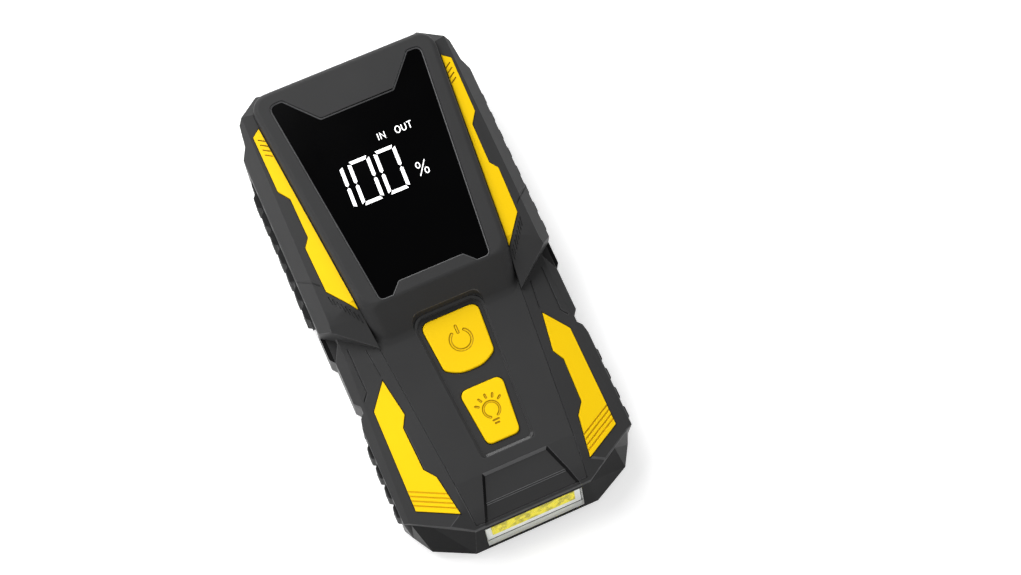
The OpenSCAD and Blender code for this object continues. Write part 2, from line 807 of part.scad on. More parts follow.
module rear_cover() {
    color("#161617")
    difference() {
        union() {
            difference() {
                rear_outside();
                rear_room();
            }
            intersection() {
                rear_outside();
                union() {
                    mirror([1, 0, 0]) side_recess(port_floor_x, grip_y0, grip_y1, wall);
                    side_recess(grip_floor_x, grip_y0, grip_y1, wall);
                    both_sides() side_recess(tail_floor_x, tail_grip_y0, tail_grip_y1, wall);
                    on_end_face() block(
                        [-light_win_w / 2 - wall, -5, -light_win_h / 2 - wall],
                        [light_win_w + 2 * wall, 5 + LIGHT_STACK_T, light_win_h + 2 * wall]
                    );
                }
            }
            at_case_screws() translate([0, 0, floor_z - ROOT_D])
                cylinder(r = BOSS_R, h = part_z - floor_z + ROOT_D);
            board_supports();
        }
        mirror([1, 0, 0]) side_recess(port_floor_x, grip_y0, grip_y1);
        side_recess(grip_floor_x, grip_y0, grip_y1);
        both_sides() side_recess(tail_floor_x, tail_grip_y0, tail_grip_y1);
        at_case_screws() {
            translate([0, 0, -OVER]) cylinder(d = screw_d + fit, h = part_z + 2 * OVER);
            translate([0, 0, -OVER]) cylinder(d = SCREW_HEAD.x + 2 * fit, h = screw_seat_z + OVER);
        }
        translate([-pivot_x, pivot_y, grip_z - PIN_SEAT_L])
            cylinder(d = pin_d, h = grip_h + 2 * PIN_SEAT_L);
        on_end_face() block(
            [-light_win_w / 2 - fit / 2, -20, -light_win_h / 2 - fit / 2],
            [light_win_w + fit, 20 + LIGHT_STACK_T + OVER, light_win_h + fit]
        );
        port_holes();
        at_board_supports() translate([0, 0, main_board_z - BOARD_SCREW_L])
            cylinder(d = BOARD_SCREW_D + PILOT_PLAY, h = BOARD_SCREW_L + OVER);
    }
}

// Holes in the floor of the port recess, one for each socket
module port_holes() {
    x = -port_floor_x - OVER;
    l = wall + 2 * OVER;
    socket_w = [socket_l + fit, socket_h + fit];
    usb_a_w = [USB_A_W + fit, USB_A_H + fit];
    block([x, socket_y - socket_w.x / 2, port_z - socket_w.y / 2], [l, socket_w.x, socket_w.y]);
    block([x, usb_a_y - usb_a_w.x / 2, port_z - usb_a_w.y / 2], [l, usb_a_w.x, usb_a_w.y]);
    translate([x, usb_c_y, usb_c_z]) usb_c_form(fit / 2, l);
}

// Rounded block of the USB-C shell, grown by d, along +X
module usb_c_form(d, l) {
    rotate([90, 0, 90]) linear_extrude(l) {
        square([USB_C_W - USB_C_H, USB_C_H + 2 * d], center = true);
        for (s = [-1, 1]) translate([s * (USB_C_W - USB_C_H) / 2, 0]) circle(d = USB_C_H + 2 * d);
    }
}

// Places of the posts that carry the main board
module at_board_supports() {
    both_sides()
        for (y = [board_y1 - 4, board_y0 + 4])
            translate([board_w / 2 - SUPPORT_INSET, y]) children();
}

// Posts and ribs that stand on the floor of the rear shell
module board_supports() {
    at_board_supports() translate([0, 0, floor_z - ROOT_D])
        cylinder(r = SUPPORT_R, h = main_board_z - floor_z + ROOT_D);
    for (y = [usb_a_y - 4, usb_c_y])
        block([-port_floor_x + wall + 1, y, floor_z - ROOT_D], [8, 2, port_board_z - floor_z + ROOT_D]);
}

// Ribbed pad for a recess in the right side wall
module grip(floor_x, outer_x, y0, y1) {
    base_x = outer_x - rib_h;
    prism(
        concat([[floor_x, y1 - fit], [floor_x, y0 + fit]], ribbed_edge(base_x, rib_h, y0 + fit, y1 - fit)),
        grip_z + fit, grip_z + grip_h - fit
    );
}

module upper_grip_right() {
    color("#1b1b1c") grip(grip_floor_x, pack_w / 2, grip_y0, grip_y1);
}

module lower_grip_right() {
    color("#1b1b1c") grip(tail_floor_x, tail_x + 1.2, tail_grip_y0, tail_grip_y1);
}

module lower_grip_left() {
    mirror([1, 0, 0]) lower_grip_right();
}

module port_cover() {
    z0 = grip_z + fit + 0.2;
    z1 = grip_z + grip_h - fit - 0.2;
    color("#1b1b1c")
    difference() {
        union() {
            mirror([1, 0, 0]) prism(
                concat(
                    [
                        [face_x - flap_t, pivot_y], [face_x - flap_t, flap_y0 + FLAP_LIP],
                        [face_x - flap_t + FLAP_LIP, flap_y0]
                    ],
                    ribbed_edge(face_x, rib_h, flap_y0, pivot_y)
                ),
                z0, z1
            );
            translate([-pivot_x, pivot_y, z0]) cylinder(r = PIVOT_R, h = z1 - z0);
        }
        translate([-pivot_x, pivot_y, z0 - OVER]) cylinder(d = pin_d + 0.2, h = z1 - z0 + 2 * OVER);
    }
}

module port_cover_pin() {
    color("#b8bbbf")
        translate([-pivot_x, pivot_y, grip_z - PIN_SEAT_L + 0.1])
            cylinder(d = pin_d, h = grip_h + 2 * PIN_SEAT_L - 0.2);
}

// High-current socket: a keyed block with a bore for each contact
module jump_socket() {
    x = -port_floor_x - 0.4;
    color("#1c54a8")
    difference() {
        union() {
            translate([x, socket_y, port_z]) rotate([90, 0, 90]) linear_extrude(contact_l + 1.4)
                polygon([
                    [-socket_l / 2, -socket_h / 2], [socket_l / 2, -socket_h / 2],
                    [socket_l / 2, socket_h / 2 - 2.6], [socket_l / 2 - 2.6, socket_h / 2],
                    [-socket_l / 2 + 2.6, socket_h / 2], [-socket_l / 2, socket_h / 2 - 2.6]
                ]);
            block(
                [-port_floor_x + wall, socket_y - socket_l / 2 - 1.5, port_z - socket_h / 2 - 1.5],
                [2, socket_l + 3, socket_h + 3]
            );
        }
        at_contacts(x - OVER) cylinder(d = contact_bore + 2 * CONTACT_WALL, h = contact_l + 4);
    }
}

// Places of the contacts, with +Z along the bore from a given x inwards
module at_contacts(x) {
    for (s = [-1, 1])
        translate([x, socket_y + s * contact_pitch / 2, port_z]) rotate([0, 90, 0]) children();
}

module jump_contacts() {
    color("#c9a24a")
    difference() {
        at_contacts(-port_floor_x + 0.6) cylinder(d = contact_bore + 2 * CONTACT_WALL, h = contact_l + 1.2);
        at_contacts(-port_floor_x) cylinder(d = contact_bore, h = contact_l);
    }
}

module usb_a_shell() {
    l = USB_A_L;
    color("#c8cacd")
    difference() {
        block([-port_floor_x - 0.3, usb_a_y - USB_A_W / 2, port_z - USB_A_H / 2], [l, USB_A_W, USB_A_H]);
        block(
            [-port_floor_x - OVER, usb_a_y - USB_A_W / 2 + USB_WALL, port_z - USB_A_H / 2 + USB_WALL],
            [l, USB_A_W - 2 * USB_WALL, USB_A_H - 2 * USB_WALL]
        );
    }
}

module usb_a_tongue() {
    l = USB_A_L - 1.7;
    color("#f2f2f0") {
        block([-port_floor_x + 0.7, usb_a_y - 5.6, port_z + 0.2], [l - 1, 11.2, 1.9]);
        block(
            [-port_floor_x + l - 2.3, usb_a_y - USB_A_W / 2 + USB_WALL, port_z - USB_A_H / 2 + USB_WALL],
            [2, USB_A_W - 2 * USB_WALL, USB_A_H - 2 * USB_WALL]
        );
    }
}

module usb_c_shell() {
    color("#c8cacd")
    difference() {
        translate([-port_floor_x - 0.3, usb_c_y, usb_c_z]) usb_c_form(0, USB_C_L);
        translate([-port_floor_x - OVER, usb_c_y, usb_c_z]) usb_c_form(-USB_WALL, USB_C_L);
    }
}

module usb_c_tongue() {
    color("#1a1a1a") {
        block([-port_floor_x + 0.9, usb_c_y - 3.3, usb_c_z - 0.35], [USB_C_L - 3.1, 6.6, 0.7]);
        translate([-port_floor_x + USB_C_L - 2.3, usb_c_y, usb_c_z]) usb_c_form(-USB_WALL, 1.3);
    }
}

module port_board() {
    color("#1d5a2c")
        block(
            [-port_floor_x + wall + 0.6, usb_a_y - USB_A_W / 2 - 1, port_board_z],
            [PORT_BOARD_W, usb_c_y - usb_a_y + USB_A_W / 2 + 6, board_t]
        );
}

module main_board() {
    color("#1d5a2c")
    difference() {
        block([-board_w / 2, board_y0, main_board_z], [board_w, board_y1 - board_y0, board_t]);
        at_board_supports() translate([0, 0, main_board_z - OVER])
            cylinder(d = BOARD_SCREW_D + fit, h = board_t + 2 * OVER);
    }
}

module mosfet_bank() {
    color("#202022")
    for (i = [0:MOSFETS - 1])
        block([(i - MOSFETS / 2) * MOSFET_STEP + 1.2, board_y0 + MOSFET_Y, part_top_z], MOSFET_SIZE);
}

module board_capacitors() {
    color("#b9bcc2")
    for (i = [0:CAPACITORS - 1])
        translate([(i - (CAPACITORS - 1) / 2) * CAPACITOR_STEP, board_y0 + CAPACITOR_Y, part_top_z])
            cylinder(d = CAPACITOR_D, h = capacitor_h);
}

module board_screws() {
    color("#9a9da2") {
        at_board_supports() screw(part_top_z, BOARD_SCREW_D, BOARD_SCREW_L, BOARD_HEAD);
        at_board_posts() mirror([0, 0, 1])
            screw(board_t - board_top_z, BOARD_SCREW_D, BOARD_SCREW_L, BOARD_HEAD);
    }
}

// A screw driven downwards, its cross-slotted head seated at height z; head is [diameter, height]
module screw(z, d, l, head) {
    slot = [head.x * 0.64, head.x * 0.16, head.y];
    translate([0, 0, z - l]) cylinder(d = d, h = l);
    translate([0, 0, z]) difference() {
        cylinder(d = head.x, h = head.y);
        for (a = [0, 90])
            rotate([0, 0, a]) translate([-slot.x / 2, -slot.y / 2, head.y / 2]) cube(slot);
    }
}

module case_screws() {
    color("#55585c")
        at_case_screws()
            mirror([0, 0, 1])
                screw(-screw_seat_z, screw_d, SCREW_SHANK_L + SCREW_BITE - fit, SCREW_HEAD);
}

module feet() {
    color("#141415")
    both_sides()
        for (y = [y_top - FOOT_Y.x, y_end + FOOT_Y.y])
            translate([armour_x - FOOT_INSET, y, 0]) {
                cylinder(d1 = foot_d - 2 * FOOT_EDGE, d2 = foot_d, h = FOOT_EDGE);
                translate([0, 0, FOOT_EDGE]) cylinder(d = foot_d, h = base_z - FOOT_EDGE);
            }
}

module battery_tray() {
    color("#26262a")
    difference() {
        block(
            [cell_x0 - TRAY_WALL, cell_y0 - TRAY_WALL, floor_z],
            [tray_w, cell_l + 2 * TRAY_WALL, tray_floor_z - floor_z + cell_t + 2]
        );
        block([cell_x0 - 0.2, cell_y0 - 0.2, tray_floor_z], [cell_w + 0.4, cell_l + 0.4, pack_h]);
        block([cell_x0 + 12, cell_y0 - 5, tray_floor_z], [cell_w - 24, 10, pack_h]);
    }
}

// Pouch cells lying flat on each other, each with its folded side seams
module battery_cells() {
    color("#a9adb2")
    for (i = [0:cells - 1])
        translate([cell_x0, cell_y0, tray_floor_z + i * cell_t]) {
            block([1.2, 0, 0], [cell_w - 2.4, cell_l, cell_t]);
            block([0, 2, cell_t * 0.3], [cell_w, cell_l - 4, cell_t * 0.4]);
        }
}

module foam_pad() {
    color("#4a4a4e")
        block(
            [cell_x0 + 4, cell_y0 + 6, cells_top_z],
            [cell_w - 8, cell_l - 12, display_board_z - cells_top_z]
        );
}

// Copper bars from the socket's contacts to the edge of the main board
module bus_bars() {
    low_y = socket_y - contact_pitch / 2;
    high_y = socket_y + contact_pitch / 2;
    bar_z = port_z + 4.5;
    color("#b9743a") {
        block([bus_x, low_y - 3.5, port_z - 3.5], [BUS_T, 7, 7]);
        block([bus_x, board_y1 - 12, part_top_z], [BUS_T, low_y - board_y1 + 9, 2.6]);
        block([bus_x, high_y - 3.5, port_z - 3.5], [BUS_T, 7, 11]);
        block([bus_x, board_y1 - 20, bar_z], [BUS_T, high_y - board_y1 + 20, 3]);
        block([bus_x, board_y1 - 20, part_top_z], [BUS_T, 4, bar_z - part_top_z]);
    }
}

module light_lens() {
    color("#dfe6ea", 0.5)
        on_end_face() block([-light_win_w / 2, 0.2, -light_win_h / 2], [light_win_w, lens_t, light_win_h]);
}

module light_board() {
    color("#f4f4f2")
        on_end_face() block(
            [-light_win_w / 2 + 0.2, lens_t + 1.3, -light_win_h / 2 + 0.2],
            [light_win_w - 0.4, 1.6, light_win_h - 0.4]
        );
}

module phosphor_strip() {
    color("#e3d400")
        on_end_face() block(
            [-light_win_w / 2 + PHOSPHOR_INSET, lens_t + 0.5, -PHOSPHOR_H / 2],
            [light_win_w - 2 * PHOSPHOR_INSET, 0.8, PHOSPHOR_H]
        );
}

rear_cover();
front_cover();
centre_panel();
display_window();
display_panel();
display_board();
upper_strip_left();
upper_strip_right();
lower_strip_left();
lower_strip_right();
power_button();
light_button();
button_switches();
button_board();
main_board();
mosfet_bank();
board_capacitors();
board_screws();
battery_tray();
battery_cells();
foam_pad();
bus_bars();
jump_socket();
jump_contacts();
usb_a_shell();
usb_a_tongue();
usb_c_shell();
usb_c_tongue();
port_board();
port_cover();
port_cover_pin();
upper_grip_right();
lower_grip_left();
lower_grip_right();
light_lens();
light_board();
phosphor_strip();
case_screws();
feet();
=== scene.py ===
"""Jump starter pack: softened mouldings, engraved buttons, lit display, rubber grips and work light.

Each sub-assembly is a class that holds its own sizes and dresses its pieces. A moulded shell is a copy of
the construction solid whose edges get the small radius that a steel tool leaves; a button cap, a lit digit
or a bevel is a surface worked out with numpy. Lengths are in metres, and profiles and engraved signs in
millimetres.
"""

import logging
import math
from collections.abc import Callable
from dataclasses import dataclass, field
from enum import Enum
from functools import cache

import bmesh
import bpy
import numpy as np
from mathutils import Matrix, Vector
from mathutils.bvhtree import BVHTree
from mathutils.geometry import convex_hull_2d


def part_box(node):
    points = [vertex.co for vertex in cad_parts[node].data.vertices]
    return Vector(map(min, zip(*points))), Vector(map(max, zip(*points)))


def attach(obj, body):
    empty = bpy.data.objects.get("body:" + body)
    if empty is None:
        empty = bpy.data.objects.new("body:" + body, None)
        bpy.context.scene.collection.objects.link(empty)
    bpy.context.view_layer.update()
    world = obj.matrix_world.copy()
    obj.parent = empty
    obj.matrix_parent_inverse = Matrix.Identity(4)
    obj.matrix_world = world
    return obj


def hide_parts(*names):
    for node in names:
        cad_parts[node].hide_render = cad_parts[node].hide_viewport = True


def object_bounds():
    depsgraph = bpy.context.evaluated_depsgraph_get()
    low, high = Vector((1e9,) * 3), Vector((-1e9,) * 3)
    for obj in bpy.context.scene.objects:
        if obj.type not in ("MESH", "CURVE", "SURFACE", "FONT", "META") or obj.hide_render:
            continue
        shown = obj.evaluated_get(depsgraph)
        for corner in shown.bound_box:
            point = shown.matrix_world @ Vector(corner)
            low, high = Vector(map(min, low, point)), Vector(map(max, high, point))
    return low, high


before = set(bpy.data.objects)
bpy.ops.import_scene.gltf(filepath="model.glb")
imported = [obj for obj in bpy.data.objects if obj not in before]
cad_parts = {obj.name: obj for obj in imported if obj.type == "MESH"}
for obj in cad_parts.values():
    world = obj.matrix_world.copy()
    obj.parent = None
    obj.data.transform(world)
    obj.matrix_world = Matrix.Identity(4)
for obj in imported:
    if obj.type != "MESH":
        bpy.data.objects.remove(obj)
CAD_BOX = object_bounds()

LOG = logging.getLogger("jump_starter")
MM = 0.001
MERGE_GAP = 0.002 * MM
SLACK = 0.01 * MM
TINY = 1e-9
HOUSING = "housing"
# Mask of the faces that get painted light (a highlight on rounded edges, shade in grooves) and scuffs.
LIGHT_AND_WEAR_MASK = "painted_light_and_wear"
POINT_NUMBER = "point_number"
WHITE = (1.0, 1.0, 1.0)
Pair = tuple[float, float]
Colour = Place = tuple[float, float, float]
Profile = tuple[Pair, ...]
Shape = tuple[np.ndarray, list]
Socket, Mesh, Piece = bpy.types.NodeSocket, bpy.types.Mesh, bpy.types.Object


# ---------------------------------------------------------------- shader nodes


class Nodes:
    """The nodes of one tree, added by short calls that give their output."""

    def __init__(self, tree: bpy.types.NodeTree) -> None:
        """Takes the tree of a material, a group or a world."""
        self.tree = tree

    def wire(self, node: bpy.types.Node, links: dict) -> None:
        """Links or sets the inputs of a node. A colour gets an alpha of 1.

        Args:
            node: The node.
            links: Input names or numbers, each with an output socket or a value.
        """
        for key, value in links.items():
            if isinstance(value, Socket):
                self.tree.links.new(value, node.inputs[key])
            else:
                node.inputs[key].default_value = (*value, 1) if node.inputs[key].type == "RGBA" else value

    def add(self, kind: str, links: dict | None = None, **settings: object) -> bpy.types.bpy_prop_collection:
        """Adds a node, sets its properties and wires its inputs.

        Args:
            kind: Blender's node type, after ShaderNode.
            links: Input names or numbers, each with an output socket or a value.
            **settings: Properties of the node.

        Returns:
            The node's outputs.
        """
        node = self.tree.nodes.new("ShaderNode" + kind)
        for key, value in settings.items():
            setattr(node, key, value)
        self.wire(node, links or {})
        return node.outputs

    def place(self) -> Socket:
        """The Object coordinates."""
        return self.add("TexCoord")["Object"]

    def noise(
        self, scale: float | Socket, detail: float, rough: float = 0.5, place: Socket | None = None
    ) -> Socket:
        """Cloudy noise on Object coordinates, or on the place that is given."""
        links = {"Vector": place or self.place(), "Scale": scale, "Detail": detail, "Roughness": rough}
        return self.add("TexNoise", links)["Fac"]

    def remap(self, value: Socket, span: Pair, result: Pair = (0.0, 1.0)) -> Socket:
        """The value with its span stretched to the result, and held between the result's ends."""
        return self.add("MapRange", dict(enumerate((value, *span, *result))))[0]

    def math(self, operation: str, *terms: Socket | float, clamp: bool = False) -> Socket:
        """The outcome of a Math node."""
        return self.add("Math", dict(enumerate(terms)), operation=operation, use_clamp=clamp)[0]

    def blend(self, mask: Socket, low: Colour | Socket, high: Colour) -> Socket:
        """A colour that goes from low to high as the mask goes from 0 to 1."""
        return self.add("Mix", {0: mask, 6: low, 7: high}, data_type="RGBA")[2]

    def bump(self, height: Socket, strength: float, distance: float) -> Socket:
        """A normal that leans with the height."""
        return self.add("Bump", {"Height": height, "Strength": strength, "Distance": distance})[0]

    def background_rays(self) -> Socket:
        """A mask for the background: 1 for what is seen straight, in a reflection or through glass.

        Returns:
            The mask.
        """
        path = self.add("LightPath")
        clear = self.math("MAXIMUM", path["Is Camera Ray"], path["Is Transmission Ray"])
        return self.math("MAXIMUM", clear, path["Is Glossy Ray"])


class Channel(Enum):
    """Socket types of a shader node group."""

    VALUE = "NodeSocketFloat"
    VECTOR = "NodeSocketVector"


class Group(Nodes):
    """A shader node group with named inputs and outputs, built once and placed in many materials."""

    def __init__(self, name: str, **inputs: float | tuple[float, ...]) -> None:
        """Makes the group with its inputs.

        Args:
            name: Name of the group.
            **inputs: Default of each input: a number, or three for a vector.
        """
        super().__init__(bpy.data.node_groups.new(name, "ShaderNodeTree"))
        for title, value in inputs.items():
            channel = Channel.VALUE if isinstance(value, float) else Channel.VECTOR
            socket = self.tree.interface.new_socket(title, in_out="INPUT", socket_type=channel.value)
            socket.default_value = value
        self.given = self.tree.nodes.new("NodeGroupInput").outputs

    def put_out(self, **results: Socket) -> bpy.types.NodeTree:
        """Ends the group with its outputs.

        Args:
            **results: What each output gives.

        Returns:
            The group's tree.
        """
        for title in results:
            self.tree.interface.new_socket(title, in_out="OUTPUT", socket_type=Channel.VALUE.value)
        self.wire(self.tree.nodes.new("NodeGroupOutput"), results)
        return self.tree


def build_grain() -> bpy.types.NodeTree:
    """Spark-eroded grain of a moulded face: fine cells over a softer waviness.

    Returns:
        The group: Scale in, Height and Tone out.
    """
    group = Group("moulded_grain", Scale=2500.0)
    place, scale = group.place(), group.given["Scale"]
    cells = group.add("TexVoronoi", {"Vector": place, "Scale": scale})["Distance"]
    height = group.add("Mix", {0: 0.5, 2: cells, 3: group.noise(scale, 3.0, 0.6, place)})[0]
    return group.put_out(Height=height, Tone=group.noise(38.0, 4.0, 0.55, place))


def build_wear_and_light() -> bpy.types.NodeTree:
    """Faint smears of use, and masked faces that are scuffed in places and get an even share of painted
    light: a highlight on rounded edges, shade in grooves.

    Returns:
        The group: the edge mask, the share of painted light and the amount of wear in; the smear and the mask
            of scuffs and painted light out.
    """
    group = Group("wear_and_painted_light", Edge=0.0, PaintedLight=0.5, Amount=0.5)
    place, amount = group.place(), group.given["Amount"]
    stretched = group.add("Mapping", {"Vector": place, "Rotation": (0, 0, 0.5), "Scale": (1, 0.35, 1)})[0]
    smears = group.remap(group.noise(70.0, 5.0, 0.6, stretched), (0.5, 0.72))
    scuffs = group.remap(group.noise(420.0, 4.0, 0.7, place), (0.44, 0.62))
    # The even share on every masked face is painted light (a highlight on rounded edges, shade in grooves);
    # the scuffs add wear in places.
    marks = group.math("MULTIPLY_ADD", scuffs, amount, group.given["PaintedLight"], clamp=True)
    on_edge = group.math("MULTIPLY", marks, group.given["Edge"])
    return group.put_out(Smear=group.math("MULTIPLY", smears, amount), Scuff=on_edge)


def build_drawn_lines() -> bpy.types.NodeTree:
    """Fine parallel lines of drawn or rolled metal.

    Returns:
        The group: Scale and Stretch in, Height out.
    """
    group = Group("drawn_lines", Scale=900.0, Stretch=(1.0, 0.05, 1.0))
    along = group.add("VectorMath", {0: group.place(), 1: group.given["Stretch"]}, operation="MULTIPLY")[0]
    return group.put_out(Height=group.noise(group.given["Scale"], 3.0, 0.6, along))


GRAIN = build_grain()
WEAR_AND_LIGHT = build_wear_and_light()
DRAWN_LINES = build_drawn_lines()


# ---------------------------------------------------------------- finishes


@dataclass(frozen=True)
class Finish:
    """A named finish. Each kind works out what the shader's inputs get."""

    name: str
    colour: Colour

    def times(self, share: float) -> Colour:
        """The colour, darker or lighter by a share."""
        return tuple(part * share for part in self.colour)

    def inputs(self, nodes: Nodes) -> dict[str, object]:
        """Builds the nodes before the shader.

        Args:
            nodes: The material's nodes.

        Returns:
            The shader's inputs, each with a socket or a value.
        """
        raise NotImplementedError

    def material(self) -> bpy.types.Material:
        """Builds the material.

        Returns:
            The material.
        """
        material = bpy.data.materials.new(self.name)
        material.use_nodes = True
        nodes = Nodes(material.node_tree)
        nodes.wire(nodes.tree.nodes["Principled BSDF"], self.inputs(nodes))
        return material


@dataclass(frozen=True)
class Moulding(Finish):
    """Moulded plastic or rubber with tool grain, a faint cloudiness, marks of wear, and painted light on the
    masked faces: a highlight on rounded edges, shade in grooves.
    """

    # Colour laid on the masked faces: scuffs, and a painted highlight on rounded edges or painted shade in
    # grooves.
    wear_and_painted_light_colour: Colour
    roughness: float = 0.5
    specular: float = 0.35
    grain_scale: float = 2600.0
    grain_bump: float = 0.3
    grain_depth: float = 0.05 * MM
    cloud: float = 0.12
    wear: float = 0.4
    # Even share of that colour on every masked face, which is painted light, not wear.
    painted_light_share: float = 0.35
    smeared: float = 0.78

    def inputs(self, nodes: Nodes) -> dict[str, object]:
        """Grain on every face, and wear and painted light that read the mesh's own mask: a painted highlight
        on rounded edges, painted shade in grooves.

        Args:
            nodes: The material's nodes.

        Returns:
            The shader's inputs.
        """
        grain = nodes.add("Group", {"Scale": self.grain_scale}, node_tree=GRAIN)
        edge = nodes.add("Attribute", attribute_name=LIGHT_AND_WEAR_MASK)["Fac"]
        marks = {"Edge": edge, "PaintedLight": self.painted_light_share, "Amount": self.wear}
        use = nodes.add("Group", marks, node_tree=WEAR_AND_LIGHT)
        body = nodes.blend(grain["Tone"], self.times(1 - self.cloud), self.times(1 + self.cloud))
        rough = (self.roughness, self.roughness * self.smeared)
        return {
            # Painted edge highlight or groove shade, with the scuffs.
            "Base Color": nodes.blend(use["Scuff"], body, self.wear_and_painted_light_colour),
            "Roughness": nodes.remap(use["Smear"], (0.0, 1.0), rough),
            "Normal": nodes.bump(grain["Height"], self.grain_bump, self.grain_depth),
            "Specular IOR Level": self.specular,
        }


@dataclass(frozen=True)
class Metal(Finish):
    """Metal with fine drawn lines and a slight change of tone."""

    roughness: float = 0.3
    stretch: Place = (1.0, 0.05, 1.0)
    scale: float = 1200.0
    darkest: float = 0.82
    smoothest: float = 0.8
    roughest: float = 1.25
    line_bump: float = 0.25
    line_depth: float = 0.03 * MM

    def inputs(self, nodes: Nodes) -> dict[str, object]:
        """Lines that change the tone, the roughness and the normal.

        Args:
            nodes: The material's nodes.

        Returns:
            The shader's inputs.
        """
        links = {"Scale": self.scale, "Stretch": self.stretch}
        lines = nodes.add("Group", links, node_tree=DRAWN_LINES)["Height"]
        rough = (self.roughness * self.smoothest, self.roughness * self.roughest)
        return {
            "Base Color": nodes.blend(lines, self.times(self.darkest), self.colour),
            "Roughness": nodes.remap(lines, (0.3, 0.7), rough),
            "Normal": nodes.bump(lines, self.line_bump, self.line_depth),
            "Metallic": 1.0,
        }


@dataclass(frozen=True)
class SolderMask(Finish):
    """Circuit board: coloured lacquer over traces that show as faint raised lines."""

    trace_colour: Colour
    pitch: float = 420.0
    roughness: float = 0.32
    trace_bump: float = 0.3
    trace_depth: float = 0.04 * MM

    def inputs(self, nodes: Nodes) -> dict[str, object]:
        """Traces along the edges of square cells.

        Args:
            nodes: The material's nodes.

        Returns:
            The shader's inputs.
        """
        links = {"Vector": nodes.place(), "Scale": self.pitch}
        cells = nodes.add("TexVoronoi", links, distance="CHEBYCHEV", feature="DISTANCE_TO_EDGE")
        trace = nodes.remap(cells["Distance"], (0.04, 0.1), (1.0, 0.0))
        return {
            "Base Color": nodes.blend(trace, self.colour, self.trace_colour),
            "Normal": nodes.bump(trace, self.trace_bump, self.trace_depth),
            "Roughness": self.roughness,
        }


@dataclass(frozen=True)
class TintedWindow(Finish):
    """Black tinted acrylic: almost no colour of its own, and polished."""

    roughness: float = 0.09
    specular: float = 0.015
    lightest: float = 1.6
    roughest: float = 2.2

    def inputs(self, nodes: Nodes) -> dict[str, object]:
        """A faint cloud in the tint and the polish.

        Args:
            nodes: The material's nodes.

        Returns:
            The shader's inputs.
        """
        cloud = nodes.noise(30.0, 6.0)
        rough = (self.roughness, self.roughness * self.roughest)
        return {
            "Base Color": nodes.blend(cloud, self.colour, self.times(self.lightest)),
            "Roughness": nodes.remap(cloud, (0.35, 0.75), rough),
            "Specular IOR Level": self.specular,
        }


@dataclass(frozen=True)
class ClearPlastic(Finish):
    """Clear polycarbonate of the lamp window."""

    roughness: float = 0.04
    index: float = 1.14
    roughest: float = 2.0

    def inputs(self, nodes: Nodes) -> dict[str, object]:
        """A faint haze in the polish.

        Args:
            nodes: The material's nodes.

        Returns:
            The shader's inputs.
        """
        rough = (self.roughness, self.roughness * self.roughest)
        haze = nodes.remap(nodes.noise(160.0, 3.0), (0.4, 0.7), rough)
        return {"Base Color": self.colour, "Roughness": haze, "Transmission Weight": 1.0, "IOR": self.index}


@dataclass(frozen=True)
class Phosphor(Finish):
    """Silicone phosphor over the diodes: lumpy, bright where it is thin and olive where it is thick."""

    dull: Colour
    lump_scale: float = 420.0
    lump_bump: float = 0.6
    lump_depth: float = 0.2 * MM
    roughness: float = 0.5
    specular: float = 0.1

    def inputs(self, nodes: Nodes) -> dict[str, object]:
        """Lumps that change the colour and the normal.

        Args:
            nodes: The material's nodes.

        Returns:
            The shader's inputs.
        """
        lumps = nodes.noise(self.lump_scale, 5.0)
        return {
            "Base Color": nodes.blend(nodes.remap(lumps, (0.44, 0.6)), self.colour, self.dull),
            "Normal": nodes.bump(lumps, self.lump_bump, self.lump_depth),
            "Roughness": self.roughness,
            "Specular IOR Level": self.specular,
        }


@dataclass(frozen=True)
class LitSegment(Finish):
    """Lit part of the display, with a faint unevenness of the light behind it."""

    strength: float = 1.0
    dimmest: float = 0.9
    roughness: float = 0.6

    def inputs(self, nodes: Nodes) -> dict[str, object]:
        """Light of a slightly uneven colour.

        Args:
            nodes: The material's nodes.

        Returns:
            The shader's inputs.
        """
        light = nodes.blend(nodes.noise(260.0, 2.0), self.times(self.dimmest), self.colour)
        lit = {"Emission Color": light, "Emission Strength": self.strength}
        return lit | {"Base Color": light, "Roughness": self.roughness}


